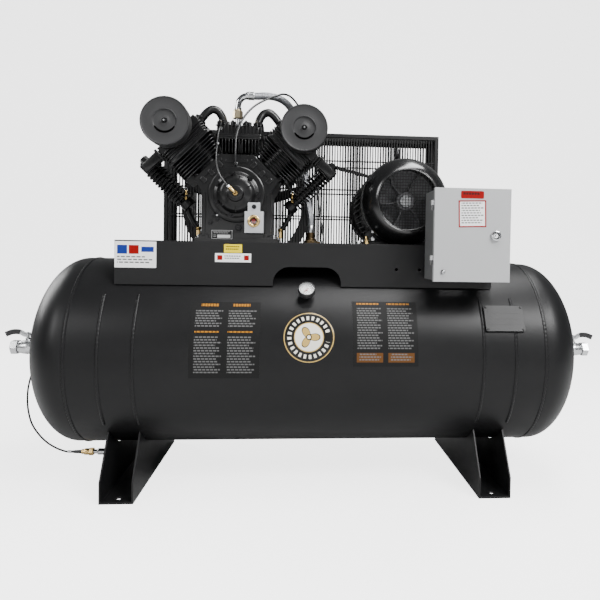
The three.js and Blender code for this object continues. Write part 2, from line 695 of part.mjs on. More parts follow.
const breatherRoute = [
  [-60, -high.depth - GAP, 226], [-60, -88, 226], [-62, -112, 200], [-64, -132, 150], [-63, -146, 100],
  [-50, -160, 58], [-30, -174, 30], [-13, -182, 12], [-3, -179, 2], [0, casing.front - 40 - 2 * GAP, 0],
];
part(pumpGroup, 'discharge_hose', tube(hoseRoute, 12.5, 8, 22), rubber);
part(pumpGroup, 'unloader_tube', tube(unloaderRoute, 3.6, 6, 32), plastic);
part(pumpGroup, 'breather_tube', tube(breatherRoute, 3, 6, 18), plastic);

// ---------------------------------------------------------------- belt drive

/** Rim profile with two V-grooves, from its front face to its rear face. */
function groovedRim(outer) {
  const half = groove.mouth / 2;
  const floor = groove.floor / 2;
  const points = [[outer, wheel.front]];
  for (const y of belt.y) {
    points.push([outer, y - half], [outer - groove.depth, y - floor]);
    points.push([outer - groove.depth, y + floor], [outer, y + half]);
  }
  points.push([outer, wheel.rear]);
  return points;
}

/** Flywheel: grooved rim, hub and five pitched spokes that blow air over the cylinders. */
function flywheel() {
  const { front, rear, rimInner, outer, hub } = wheel;
  const rim = groovedRim(outer);
  const bore = crank.journal + GAP;
  const spokes = Array.from({ length: 5 }, (_, i) => {
    const blade = box([-24, front + 24, hub - 6], [24, rear - 24, rimInner + 6]);
    blade.translate(0, -(front + rear) / 2, 0).rotateZ(0.45).translate(0, (front + rear) / 2, 0);
    return blade.rotateY((i * 2 * Math.PI) / 5);
  });
  return join(
    turned('y', [[rimInner, front], ...rim, [rimInner, rear], [rimInner, front]], 28),
    ring('y', hub, bore, front, rear),
    ...spokes,
  );
}

function motorPulley() {
  const bore = motor.shaft + GAP;
  const rim = groovedRim(pulley.outer);
  const { front, rear } = wheel;
  const web = pulley.outer - 32;
  const profile = [
    [bore, front], [pulley.hub, front], [pulley.hub, front + 22], [web, front + 22], [web, front], ...rim,
    [web, rear], [web, rear - 22], [pulley.hub, rear - 22], [pulley.hub, rear], [bore, rear], [bore, front],
  ];
  return turned('y', profile, 18);
}

/** One belt's loop at a given distance from its pitch line, round the flywheel and the pulley. */
function beltLoop(inset, PathClass) {
  const across = new THREE.Vector2(motor.x - pump.x, motor.z - pump.z);
  const line = across.angle();
  const lean = Math.asin((belt.pitchBig - belt.pitchSmall) / across.length());
  const upper = line + Math.PI / 2 - lean;
  const lower = line - Math.PI / 2 + lean;
  const path = new PathClass();
  path.absarc(pump.x, pump.z, belt.pitchBig + inset, upper, lower + 2 * Math.PI);
  path.absarc(motor.x, motor.z, belt.pitchSmall + inset, lower, upper);
  path.closePath();
  return path;
}

function driveBelt(y) {
  const loop = beltLoop(belt.half, THREE.Shape);
  loop.holes.push(beltLoop(-belt.half, THREE.Path));
  return plate('y', loop, y - belt.width / 2, y + belt.width / 2, 16);
}

part(group(compressor, pump.x, 0, pump.z), 'flywheel', flywheel(), castBlack);
part(group(compressor, motor.x, 0, motor.z), 'motor_pulley', motorPulley(), castBlack);
belt.y.forEach((y, i) => part(compressor, `drive_belt_${i + 1}`, driveBelt(y), rubber));

// ---------------------------------------------------------------- motor

/** Motor frame about its shaft axis: finned barrel, feet, lifting eye and terminal box. */
function motorFrame() {
  const { core, fins, bore, front, rear, shaft } = motor;
  const count = 18;
  const step = (2 * Math.PI) / count;
  const outline = [];
  for (let i = 0; i < count; i += 1) {
    const angle = i * step;
    outline.push([core * Math.cos(angle + 0.28 * step), core * Math.sin(angle + 0.28 * step)]);
    outline.push([fins * Math.cos(angle + 0.4 * step), fins * Math.sin(angle + 0.4 * step)]);
    outline.push([fins * Math.cos(angle + 0.6 * step), fins * Math.sin(angle + 0.6 * step)]);
    outline.push([core * Math.cos(angle + 0.72 * step), core * Math.sin(angle + 0.72 * step)]);
  }
  const sole = deck.top + GAP - motor.z;
  const feet = [-1, 1].map((side) => box([side * 76 - 34, -92, sole], [side * 76 + 34, 116, sole + 14]));
  const struts = [-1, 1].map((side) => box([side * 74 - 22, -80, sole + 10], [side * 74 + 22, 104, -60]));
  const eye = new THREE.TorusGeometry(21, 6.5, 6, 12).rotateY(Math.PI / 2);
  return cut(
    join(
      plate('y', outline, front, rear),
      ...feet,
      ...struts,
      moved(bar('z', 12, fins - 20, fins + 26, 14), 0, 10, 0),
      moved(eye, 0, 10, fins + 42),
      box([core - 6, -62, -46], [178, 48, 40]),
    ),
    bar('y', bore, front + 14, rear + 1, 18),
    bar('y', shaft + 0.6, front - 1, front + 20, 16),
  );
}

function motorEndShield() {
  const { rear, shaft } = motor;
  const face = rear + GAP;
  const hole = shaft + 0.6;
  const profile = [
    [hole, face - 8], [83, face - 8], [83, face], [134, face], [134, face + 8], [112, face + 16],
    [52, face + 24], [46, face + 34], [hole, face + 34], [hole, face - 8],
  ];
  return turned('y', profile, 18);
}

/** Fan cover: sheet bell that closes in to a round grille of crossed bars. */
function motorFanCover() {
  const { radius, grille, front, shoulder, sheet } = fanCover;
  const rear = motor.front - GAP;
  const bell = [[radius, rear], [radius, shoulder], [radius - 8, shoulder - 22], [radius - 22, front + 18], [grille + 4, front]];
  const inside = bell.map(([r, y]) => [r - sheet, y < shoulder ? y + sheet : y]).reverse();
  const shell = turned('y', [...bell, [grille, front], ...inside, [radius, rear]], 20);
  const bars = [];
  for (let at = -48; at <= 48; at += 48) {
    const reach = Math.sqrt(grille ** 2 - at ** 2) + 1.5;
    bars.push(box([at - 1.2, front + 1, -reach], [at + 1.2, front + 3.4, reach]));
    bars.push(box([-reach, front + 1, at - 1.2], [reach, front + 3.4, at + 1.2]));
  }
  return join(shell, ...bars);
}

function motorRotor() {
  const tail = wheel.rear + 4;
  return join(
    bar('y', motor.shaft, -178, tail, 16),
    bar('y', motor.bore - 1.6, -78, 122, 18),
  );
}

function motorFan() {
  const hubBore = motor.shaft + GAP;
  const blades = Array.from({ length: 6 }, (_, i) =>
    box([-2, -168, 26], [2, -132, 104]).rotateY((i * Math.PI) / 3));
  return join(
    ring('y', 30, hubBore, -172, -126, 16),
    ring('y', 104, hubBore, -132, -128, 16),
    ...blades,
  );
}

const motorGroup = group(compressor, motor.x, 0, motor.z);
part(motorGroup, 'motor_frame', motorFrame(), castBlack);
part(motorGroup, 'motor_end_shield', motorEndShield(), castBlack);
part(motorGroup, 'motor_fan_cover', motorFanCover(), blackPaint);
part(motorGroup, 'motor_rotor', motorRotor(), steel);
part(motorGroup, 'motor_fan', motorFan(), plastic);

// ---------------------------------------------------------------- belt guard

/** Sheet band round the drive with a lip on both faces, on two brackets from the deck. */
function guardFrame() {
  const { left, right, front, rear, bottom, top, sheet, lip } = guard;
  const shell = box([left, front, bottom], [right, rear, top]);
  const hollow = box([left + sheet, front + sheet, bottom + sheet], [right - sheet, rear - sheet, top - sheet]);
  const window = box([left + lip, front - 5, bottom + lip], [right - lip, rear + 5, top - lip]);
  const band = cut(shell, hollow, window);
  const brackets = [left + 60, right - 110].map((x) =>
    box([x, deck.halfDepth + GAP, bottom + 2], [x + 50, front + 1, bottom + 12]));
  return join(band, ...brackets);
}

/** Wire panel of crossed bars in a border; shaft holes are [x, z, radius] with a ring round each. */
function guardGrille(y, shaftHoles) {
  const { left, right, bottom, top, sheet } = guard;
  const edge = sheet + 1;
  const [border, wire, thickness] = [14, 5, 3];
  const [columns, rows] = [9, 2];
  const [x0, x1, z0, z1] = [left + edge, right - edge, bottom + edge, top - edge];
  const [stepX, stepZ] = [(x1 - x0 - 2 * border) / columns, (z1 - z0 - 2 * border) / rows];
  const bars = [];
  for (let column = 1; column < columns; column += 1) {
    const x = x0 + border + column * stepX;
    bars.push(box([x - wire / 2, y, z0 + border - 1], [x + wire / 2, y + thickness, z1 - border + 1]));
  }
  for (let row = 1; row < rows; row += 1) {
    const z = z0 + border + row * stepZ;
    bars.push(box([x0 + border - 1, y, z - wire / 2], [x1 - border + 1, y + thickness, z + wire / 2]));
  }
  const frame = cut(
    box([x0, y, z0], [x1, y + thickness, z1]),
    box([x0 + border, y - 1, z0 + border], [x1 - border, y + thickness + 1, z1 - border]),
  );
  const disc = (radius, [x, z], from, to) => moved(bar('y', radius, from, to, 16), x, 0, z);
  return cut(
    join(frame, ...bars, ...shaftHoles.map(([x, z, radius]) => disc(radius + 8, [x, z], y, y + thickness))),
    ...shaftHoles.map(([x, z, radius]) => disc(radius, [x, z], y - 1, y + thickness + 1)),
  );
}

part(compressor, 'guard_frame', guardFrame(), blackPaint);
const shaftHoles = [[pump.x, pump.z, 34], [motor.x, motor.z, 30]];
part(compressor, 'guard_front_grille', guardGrille(guard.front + guard.sheet + GAP, shaftHoles), blackPaint);
part(compressor, 'guard_rear_grille', guardGrille(guard.rear - 2 * guard.sheet - GAP, []), blackPaint);

// ---------------------------------------------------------------- control cabinet

/** Open-fronted sheet box on two spacers from the deck, with the fixed hinge knuckles. */
function cabinetBody() {
  const { left, right, back, bottom, top, sheet } = cabinet;
  const inset = 4;
  const mouth = hinge.y;
  const shell = box([left + inset, mouth, bottom + inset], [right - inset, back, top - inset]);
  const hollow = box(
    [left + inset + sheet, mouth - 1, bottom + inset + sheet], [right - inset - sheet, back - sheet, top - inset - sheet]);
  const spacers = [left + 30, right - 70].map((x) => box([x, back - 1, 700], [x + 40, -deck.halfDepth - GAP, 760]));
  const knuckles = [720, 880].map((z) => join(
    moved(bar('z', hinge.radius, z, z + 14, 12), hinge.x, hinge.y, 0),
    box([hinge.x, hinge.y + 1 + GAP, z], [left + inset + 1, hinge.y + hinge.radius, z + 14]),
  ));
  return join(cut(shell, hollow), ...spacers, ...knuckles);
}

/** Door: a shallow sheet tray over the cabinet's mouth, with the moving hinge knuckles. */
function cabinetDoor() {
  const { left, right, front, bottom, top, sheet } = cabinet;
  const rim = 16;
  const tray = cut(
    box([left, front, bottom], [right, front + rim, top]),
    box([left + sheet, front + sheet, bottom + sheet], [right - sheet, front + rim + 1, top - sheet]),
    moved(bar('y', 8, front - 1, front + sheet + 1, 20), latch.x, 0, latch.z),
    moved(bar('y', resetButton.radius + 0.5, front - 1, front + sheet + 1, 16), resetButton.x, 0, resetButton.z),
  );
  const knuckles = [734 + GAP, 894 + GAP].map((z) => join(
    moved(bar('z', hinge.radius, z, z + 14, 12), hinge.x, hinge.y, 0),
    box([hinge.x - hinge.radius, front + 6, z], [left + 1, hinge.y, z + 14]),
  ));
  return join(tray, ...knuckles);
}

/** Quarter-turn latch about its own axis: slotted knob in front, shank and cam behind the door. */
function doorLatch() {
  const { front } = cabinet;
  const face = front - GAP;
  const knob = cut(bar('y', latch.radius, front - latch.proud, face, 24), box([-9, front - 12, -1.5], [9, front - 6, 1.5]));
  return join(knob, bar('y', 7.6, face - 1, -338, 20), box([-6, -340, -6], [30, -337, 6]));
}

/** Push button with a collar behind the door. */
function pushButton() {
  const { front, sheet } = cabinet;
  const { radius, proud } = resetButton;
  return join(
    bar('y', radius, front - proud, front + sheet + 14, 16),
    bar('y', radius + 3, front + sheet + 5, front + sheet + 8, 16),
  );
}

/** Contactor on the cabinet's back plate. */
function contactor() {
  const wall = cabinet.back - cabinet.sheet - GAP;
  return join(
    box([412, wall - 10, 762], [500, wall, 868]),
    box([420, wall - 72, 776], [492, wall - 9, 854]),
    box([430, wall - 86, 792], [482, wall - 71, 838]),
  );
}

part(compressor, 'cabinet_body', cabinetBody(), greyPaint);
part(compressor, 'cabinet_door', cabinetDoor(), greyPaint);
part(group(compressor, latch.x, 0, latch.z), 'door_latch', doorLatch(), steel);
part(group(compressor, resetButton.x, 0, resetButton.z), 'reset_button', pushButton(), redPlastic);
part(compressor, 'contactor', contactor(), plastic);

export default compressor;
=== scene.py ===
"""Looks of a stationary two-stage air compressor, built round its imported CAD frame.

Lengths are metres in the frame's axes: +X along the tank to the cabinet's end, -Y towards the
operator, +Z up, the floor at Z = 0.
"""

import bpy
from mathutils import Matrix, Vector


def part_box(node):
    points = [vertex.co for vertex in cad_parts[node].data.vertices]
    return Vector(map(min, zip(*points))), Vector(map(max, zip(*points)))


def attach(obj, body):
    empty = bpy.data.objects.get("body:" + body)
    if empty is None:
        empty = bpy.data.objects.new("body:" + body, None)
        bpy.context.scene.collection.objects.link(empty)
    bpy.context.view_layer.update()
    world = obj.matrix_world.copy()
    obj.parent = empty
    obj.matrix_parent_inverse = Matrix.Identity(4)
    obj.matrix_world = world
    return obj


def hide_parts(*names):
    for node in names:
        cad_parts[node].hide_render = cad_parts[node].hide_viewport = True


bl_info = {
    "name": "Tank-mounted air compressor",
    "version": (1, 0, 0),
    "blender": (4, 5, 0),
    "location": "3D View > Sidebar > Compressor",
    "description": "Builds the pump, motor, belt drive, tank and cabinet of a stationary air compressor",
    "category": "Add Mesh",
}

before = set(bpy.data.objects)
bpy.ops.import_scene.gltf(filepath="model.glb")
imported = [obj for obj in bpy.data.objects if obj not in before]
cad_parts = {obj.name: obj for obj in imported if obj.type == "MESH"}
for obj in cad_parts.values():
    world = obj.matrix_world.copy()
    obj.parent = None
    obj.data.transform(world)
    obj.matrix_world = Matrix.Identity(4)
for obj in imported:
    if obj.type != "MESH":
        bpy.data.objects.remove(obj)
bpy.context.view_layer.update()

import math
from collections import namedtuple

import bmesh
import bpy
import numpy as np
from mathutils import Matrix, Vector

MM = 0.001
TAU = 2 * math.pi
DIAGONAL = math.sqrt(0.5)


# ------------------------------------------------------------------ places taken from the frame

def middle(node):
    """The centre of a CAD node's box."""
    low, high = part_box(node)
    return np.array((low + high) / 2)


TANK_LOW, TANK_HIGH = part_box("tank_shell")
TANK_RADIUS = (TANK_HIGH.z - TANK_LOW.z) / 2
TANK_HALF = (TANK_HIGH.x - TANK_LOW.x) / 2
TANK_Y, TANK_Z = middle("tank_shell")[1:]
HEAD_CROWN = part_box("tank_head_right")[1].x
WHEEL_FRONT, WHEEL_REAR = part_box("flywheel")[0].y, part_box("flywheel")[1].y
CRANK = np.array([middle("flywheel")[0], middle("piston_centre")[1], middle("flywheel")[2]])
MOTOR = np.array([middle("motor_fan_cover")[0], TANK_Y, middle("motor_fan_cover")[2]])
DECK_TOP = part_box("deck")[1].z
DECK_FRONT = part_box("deck")[0].y
CASE_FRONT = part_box("crankcase")[0].y + 5 * MM
CHECK_VALVE_Y = TANK_Y + 150 * MM
OUTLET_STEM = 950 * MM
DRAIN_X, DRAIN_Z = -664 * MM, 62 * MM
EARTH_STUD = (0.181, -0.128, DECK_TOP)
BADGE_X, BADGE_Z = -10 * MM, 0.500
DATA_PLATE = (0.529, 0.653, 0.518, 0.593)
GUARD_LEVELS = (1.119, 1.006, 0.899)

# In millimetres: the banks' levels from the crank's axis, the belts' pitch radii and grooves.
CYLINDER_BASE, LOW_TOP, HIGH_TOP, LOW_CROWN = 130.3, 222, 200, 300
PULLEY_RIM, WHEEL_RIM = 134, 252
BIG_PITCH, SMALL_PITCH = 244, 126
GROOVES = (307, 329)

# How far a printed sheet stands off the shell, and how far its back is sunk into it.
LABEL_LIFT, LABEL_SINK = 0.6 * MM, -0.5 * MM

QUARTERS = np.radians([45, 135, 225, 315])
BANK_GAP = math.tan(math.pi / 8)
GAUGE_TILT = math.radians(49.5)
DIAL_START, DIAL_STEP = 225, 9

# Labels: the tank's by place along it and by angle, the others by place along X and up.
TANK_LABELS = {"left": (-0.361, -0.155, -7.7, 35.7), "right": (0.121, 0.319, -1.0, 36.9)}
DOOR_LABEL, DOOR_NOTICE, NOTICE_TILT = (0.456, 0.926), (0.457, 0.871), math.radians(1.6)
DECK_LABELS = {"maker_label": (-0.601, -0.477, 0.698, 0.778),
               "yellow_label": (-0.273, -0.218, 0.748, 0.774),
               "ring_label": (-0.300, -0.190, 0.719, 0.746)}

SIDES = ((-1, "left"), (1, "right"))


# ------------------------------------------------------------------ settings a user may change

class TankSettings(bpy.types.PropertyGroup):
    weld: bpy.props.FloatProperty(
        name="Weld bead", description="Height of the weld beads", default=0.0028, min=0.001, unit="LENGTH")
    badge: bpy.props.FloatProperty(
        name="Badge radius", description="Radius of the round badge", default=0.078, min=0.02,
        unit="LENGTH")
    paint: bpy.props.FloatVectorProperty(
        name="Paint", description="Colour of the black paint", default=(0.0060, 0.0060, 0.0064),
        size=3, min=0, max=1, subtype="COLOR")


class PumpSettings(bpy.types.PropertyGroup):
    fin_pitch: bpy.props.FloatProperty(
        name="Fin pitch", description="Distance between cooling fins", default=0.0105, min=0.006,
        unit="LENGTH")
    fin: bpy.props.FloatProperty(
        name="Fin thickness", description="Thickness of a cooling fin", default=0.0030, min=0.001,
        unit="LENGTH")
    filter_radius: bpy.props.FloatProperty(
        name="Filter radius", description="Radius of an air filter can", default=0.0755, min=0.03,
        unit="LENGTH")
    paint: bpy.props.FloatVectorProperty(
        name="Paint", description="Colour of the black castings", default=(0.0030, 0.0030, 0.0032),
        size=3, min=0, max=1, subtype="COLOR")


class DriveSettings(bpy.types.PropertyGroup):
    wire_pitch: bpy.props.FloatProperty(
        name="Wire pitch", description="Distance between the guard's upright wires", default=0.0107,
        min=0.005, unit="LENGTH")
    wire: bpy.props.FloatProperty(
        name="Wire thickness", description="Thickness of a guard wire", default=0.0054, min=0.001,
        unit="LENGTH")
    cogs: bpy.props.IntProperty(name="Belt cogs", description="Cogs on one belt", default=230, min=40)
    frame_fins: bpy.props.IntProperty(
        name="Frame fins", description="Cooling fins round the motor", default=44, min=12)


class CabinetSettings(bpy.types.PropertyGroup):
    paint: bpy.props.FloatVectorProperty(
        name="Paint", description="Colour of the cabinet", default=(0.40, 0.405, 0.41),
        size=3, min=0, max=1, subtype="COLOR")


# ------------------------------------------------------------------ shader maths

class Signal:
    """One number for each point of a surface. Arithmetic on it adds Math nodes."""

    def __init__(self, finish, socket):
        self.finish, self.socket = finish, socket

    def math(self, operation, *values):
        node = self.finish.node("ShaderNodeMath", {"operation": operation}, **{
            name: value for name, value in zip(("Value", "Value_001", "Value_002"), values)})
        return Signal(self.finish, node.outputs[0])

    def __add__(self, other):
        return self.math("ADD", self, other)

    def __sub__(self, other):
        return self.math("SUBTRACT", self, other)

    def __rsub__(self, other):
        return self.math("SUBTRACT", other, self)

    def __mul__(self, other):
        return self.math("MULTIPLY", self, other)

    __radd__ = __add__
    __rmul__ = __mul__

    def above(self, edge):
        return self.math("GREATER_THAN", self, edge)

    def below(self, edge):
        return self.math("LESS_THAN", self, edge)

    def wave(self):
        return self.math("SINE", self)

    def clamped(self):
        return self.math("MINIMUM", self.math("MAXIMUM", self, 0.0), 1.0)


class Finish:
    """A material in the making: its nodes, and the shader that they feed."""

    def __init__(self, name, colour, roughness, metallic=0.0, **constants):
        self.material = bpy.data.materials.new(name)
        self.material.use_nodes = True
        self.tree = self.material.node_tree
        self.shader = self.tree.nodes["Principled BSDF"]
        self.colour = (*colour, 1.0)
        self.material.diffuse_color = self.colour
        self.set(self.shader, {"Base Color": self.colour, "Roughness": roughness, "Metallic": metallic})
        self.set(self.shader, {key.replace("_", " "): value for key, value in constants.items()})

    def set(self, node, values):
        """Gives a node's sockets their values or links, by identifier."""
        sockets = {socket.identifier: socket for socket in node.inputs}
        for key, value in values.items():
            source = value.socket if isinstance(value, Signal) else value
            if isinstance(source, bpy.types.NodeSocket):
                self.tree.links.new(source, sockets[key])
            else:
                sockets[key].default_value = source

    def node(self, kind, settings=None, **sockets):
        """Adds a node: its settings first, and then its sockets' values or links."""
        made = self.tree.nodes.new(kind)
        for key, value in (settings or {}).items():
            setattr(made, key, value)
        self.set(made, sockets)
        return made

    def place(self):
        """The point of the surface, in the machine's own metres."""
        return self.node("ShaderNodeTexCoord").outputs["Object"]

    def noise(self, scale, detail=3.0, roughness=0.5):
        made = self.node("ShaderNodeTexNoise", Vector=self.place(), Scale=scale, Detail=detail,
                         Roughness=roughness)
        return Signal(self, made.outputs[0])

    def cells(self, scale):
        made = self.node("ShaderNodeTexVoronoi", Vector=self.place(), Scale=scale)
        return Signal(self, made.outputs["Distance"])

    def uv(self):
        """The piece's own map, as two numbers."""
        split = self.node("ShaderNodeSeparateXYZ", Vector=self.node("ShaderNodeTexCoord").outputs["UV"])
        return Signal(self, split.outputs["X"]), Signal(self, split.outputs["Y"])

    def mixed(self, factor, first, second):
        """One colour laid over another where factor is 1."""
        made = self.node("ShaderNodeMix", {"data_type": "RGBA"},
                         Factor_Float=factor, A_Color=first, B_Color=second)
        return {socket.identifier: socket for socket in made.outputs}["Result_Color"]

    def bump(self, height, strength, distance):
        made = self.node("ShaderNodeBump", Height=height, Strength=strength, Distance=distance)
        self.set(self.shader, {"Normal": made.outputs["Normal"]})


def shade(colour, factor):
    return tuple(min(1.0, channel * factor) for channel in colour[:3]) + (1.0,)


def paint(name, colour, roughness, peel=0.25, dust=0.5, shine=0.3):
    """Sprayed paint: fine orange peel, faint cloudy sheen, and dust in broad patches."""
    finish = Finish(name, colour, roughness, Specular_IOR_Level=shine)
    cloud = finish.noise(5.0, 4.0, 0.6)
    speck = finish.noise(420.0, 2.0)
    dusty = ((cloud - 0.45) * 2.4).clamped() * (speck * 0.6 + 0.4) * dust
    lighter = tuple(channel * 0.85 + 0.012 for channel in colour) + (1.0,)
    finish.set(finish.shader, {
        "Base Color": finish.mixed(dusty, finish.colour, lighter),
        "Roughness": cloud * 0.14 + (roughness - 0.07) + dusty * 0.1})
    finish.bump(finish.noise(620.0, 2.0) * 0.7 + finish.noise(95.0, 2.0) * 0.5, peel, 0.0006)
    return finish.material


def casting(name, colour, roughness=0.34):
    """Painted sand casting: coarse grain under the paint, small pits, and the grain's high points and broad
    patches rubbed a little paler.
    """
    finish = Finish(name, colour, roughness, Specular_IOR_Level=0.25, Coat_Weight=0.3, Coat_Roughness=0.14)
    grain = finish.noise(330.0, 4.0, 0.62)
    pits = (0.16 - finish.cells(210.0)).clamped() * 4.0
    cloud = finish.noise(14.0, 3.0)
    rubbed = ((grain - 0.58) * 3.0).clamped() * 0.35 + ((cloud - 0.52) * 2.0).clamped() * 0.2
    finish.set(finish.shader, {
        "Base Color": finish.mixed(rubbed, finish.colour, shade([c + 0.004 for c in colour], 2.6)),
        "Roughness": cloud * 0.16 + (roughness - 0.08) + grain * 0.08})
    finish.bump(grain - pits, 0.34, 0.0008)
    return finish.material


def metal(name, colour, roughness, stain=0.35, stain_colour=(0.16, 0.13, 0.10)):
    """Bare metal: fine tool marks, and a tarnish in soft patches."""
    finish = Finish(name, colour, roughness, 1.0)
    marks = finish.noise(900.0, 3.0, 0.6)
    cloud = finish.noise(48.0, 4.0, 0.6)
    dull = ((cloud - 0.5) * 3.0).clamped() * stain
    finish.set(finish.shader, {
        "Base Color": finish.mixed(dull, finish.colour, (*stain_colour, 1.0)),
        "Roughness": marks * 0.12 + (roughness - 0.06) + dull * 0.25})
    finish.bump(marks, 0.12, 0.0002)
    return finish.material


def moulded(name, colour, roughness, grain=0.15, **constants):
    """Moulded plastic or rubber: a fine matt grain and a faint bloom."""
    finish = Finish(name, colour, roughness, **constants)
    fine = finish.noise(1100.0, 2.0)
    bloom = ((finish.noise(30.0, 3.0) - 0.5) * 2.0).clamped() * 0.35
    finish.set(finish.shader, {
        "Base Color": finish.mixed(bloom, finish.colour, shade([c + 0.01 for c in colour], 1.7)),
        "Roughness": fine * 0.1 + (roughness - 0.05)})
    finish.bump(fine, grain, 0.0003)
    return finish.material


def braided(name, colour, strands=26.0, turns=105.0):
    """Wire braid on a hose. Two families of strands cross; each is a sine of the sum or the
    difference of the way round and the way along, and their product is the weave's height."""
    finish = Finish(name, colour, 0.36, 1.0)
    around, along = finish.uv()
    left = (around * (TAU * strands / 2) + along * (TAU * turns)).wave()
    right = (around * (TAU * strands / 2) - along * (TAU * turns)).wave()
    weave = left * right * 0.5 + 0.5
    soot = finish.noise(60.0, 3.0)
    # Where the weave is low its colour goes towards near-black: painted shade in the hollows between
    # strands. The soot noise varies the tone at random.
    finish.set(finish.shader, {"Base Color": finish.mixed((weave * 0.8 + soot * 0.35).clamped(),
                                                          (0.05, 0.05, 0.055, 1), finish.colour),
                               "Roughness": soot * 0.2 + 0.28})
    finish.bump(weave, 0.9, 0.0012)
    return finish.material


def printed(name, paper, blocks, columns=(), roughness=0.5):
    """Printed label, in its own map. A block (u0, v0, u1, v1, colour) covers a point when all four
    differences from its edges are positive. A column (u0, v0, u1, v1, rows, colour) is the same
    area ruled into rows of dashes that stand for print: a row is dark where the fraction of
    v times rows is high, and a sine of u and the row's number breaks it into dashes."""
    finish = Finish(name, paper, roughness, Specular_IOR_Level=0.15)
    u, v = finish.uv()
    colour = finish.mixed(((finish.noise(40.0) - 0.5) * 1.2).clamped() * 0.25, finish.colour,
                          shade(paper, 0.8))
    for u0, v0, u1, v1, ink in blocks:
        inside = u.above(u0) * u.below(u1) * v.above(v0) * v.below(v1)
        colour = finish.mixed(inside, colour, (*ink, 1.0))
    for u0, v0, u1, v1, rows, ink in columns:
        inside = u.above(u0) * v.above(v0) * v.below(v1)
        row = (v - v0) * (rows / (v1 - v0))
        number = row.math("FLOOR", row)
        ragged = (number * 2.4).wave() * (0.12 * (u1 - u0)) + (u1 - 0.12 * (u1 - u0))
        dashes = (u * (TAU * 7 / (u1 - u0)) + number * 2.1).wave().above(-0.8)
        mark = inside * (ragged - u).above(0.0) * (row - number).above(0.5) * dashes
        colour = finish.mixed(mark * 0.85, colour, (*ink, 1.0))
    finish.set(finish.shader, {"Base Color": colour})
    finish.bump(finish.noise(300.0, 2.0), 0.08, 0.0003)
    return finish.material


# ------------------------------------------------------------------ surfaces

Frame = namedtuple("Frame", "origin u v n")
X, Y, Z = np.eye(3)


def axes(origin, n, v=None):
    """A local frame whose third axis is n; v is turned square to it."""
    n = np.asarray(n, float) / np.linalg.norm(n)
    guess = np.asarray(v if v is not None else (Y if abs(n[1]) < 0.9 else Z), float)
    v = guess - n * (guess @ n)
    v /= np.linalg.norm(v)
    return Frame(np.asarray(origin, float), np.cross(v, n), v, n)


def bank(side):
    """A cylinder bank's frame: u across and outwards, v along +Y, n away from the crank."""
    if side == 0:
        return Frame(CRANK, X, Y, Z)
    offset = CRANK + Y * (side * 18 * MM)
    return Frame(offset, np.array([side * DIAGONAL, 0, -DIAGONAL]), Y,
                 np.array([side * DIAGONAL, 0, DIAGONAL]))


def point(at, u, v, n):
    """A point, or an array of them, given in a local frame."""
    u, v, n = np.broadcast_arrays(u, v, n)
    return at.origin + u[..., None] * at.u + v[..., None] * at.v + n[..., None] * at.n


def moved(at, u, v, n):
    """The same local frame with its origin moved by millimetres along its own axes."""
    return at._replace(origin=point(at, u * MM, v * MM, n * MM))


def fillet(corners, radius, closed=False, steps=4):
    """Rounds a polyline's corners. Each corner P becomes a parabola from the point A before it to
    the point B after it: (1-t)(1-t) A + 2 t (1-t) P + t t B."""
    p = np.asarray(corners, float)
    before, after = np.roll(p, 1, 0) - p, np.roll(p, -1, 0) - p
    reach = np.minimum(np.linalg.norm(before, axis=1), np.linalg.norm(after, axis=1)) * 0.45
    cut = np.minimum(reach, radius)[:, None]
    a = p + before / np.maximum(np.linalg.norm(before, axis=1, keepdims=True), 1e-9) * cut
    b = p + after / np.maximum(np.linalg.norm(after, axis=1, keepdims=True), 1e-9) * cut
    t = np.linspace(0, 1, steps)[None, :, None]
    curve = (1 - t) ** 2 * a[:, None] + 2 * t * (1 - t) * p[:, None] + t ** 2 * b[:, None]
    if closed:
        return curve.reshape(-1, p.shape[1])
    return np.vstack([p[:1], curve[1:-1].reshape(-1, p.shape[1]), p[-1:]])


def circle(sides, radius=1.0, start=0.0, sweep=TAU):
    """Points on a circle or an arc, the last one included."""
    angle = start + np.linspace(0, sweep, sides + 1)
    return np.stack([np.cos(angle), np.sin(angle)], -1) * radius


def rectangle(u0, v0, u1, v1, radius, steps=5):
    """A closed outline of a rectangle with rounded corners."""
    return fillet([[u0, v0], [u1, v0], [u1, v1], [u0, v1]], radius, True, steps)


def smooth_path(points, count):
    """A curve through points, at even spacing: cubic pieces whose slope at a point is the weighted
    slope of its two chords, over the square root of chord length."""
    p = np.asarray(points, float)
    gap = np.sqrt(np.linalg.norm(np.diff(p, axis=0), axis=1))
    knot = np.concatenate([[0], np.cumsum(gap)])
    slope = np.diff(p, axis=0) / gap[:, None]
    inner = (slope[:-1] * gap[1:, None] + slope[1:] * gap[:-1, None]) / (gap[:-1] + gap[1:])[:, None]
    tangent = np.vstack([slope[:1], inner, slope[-1:]])
    t = np.linspace(0, knot[-1], 1200)
    k = np.clip(np.searchsorted(knot, t, "right") - 1, 0, len(p) - 2)
    h = gap[k]
    s = ((t - knot[k]) / h)[:, None]
    dense = ((1 + 2 * s) * (1 - s) ** 2 * p[k] + s * (1 - s) ** 2 * h[:, None] * tangent[k]
             + s * s * (3 - 2 * s) * p[k + 1] + s * s * (s - 1) * h[:, None] * tangent[k + 1])
    length = np.concatenate([[0], np.cumsum(np.linalg.norm(np.diff(dense, axis=0), axis=1))])
    even = np.linspace(0, length[-1], count)
    return np.stack([np.interp(even, length, dense[:, axis]) for axis in range(3)], -1)


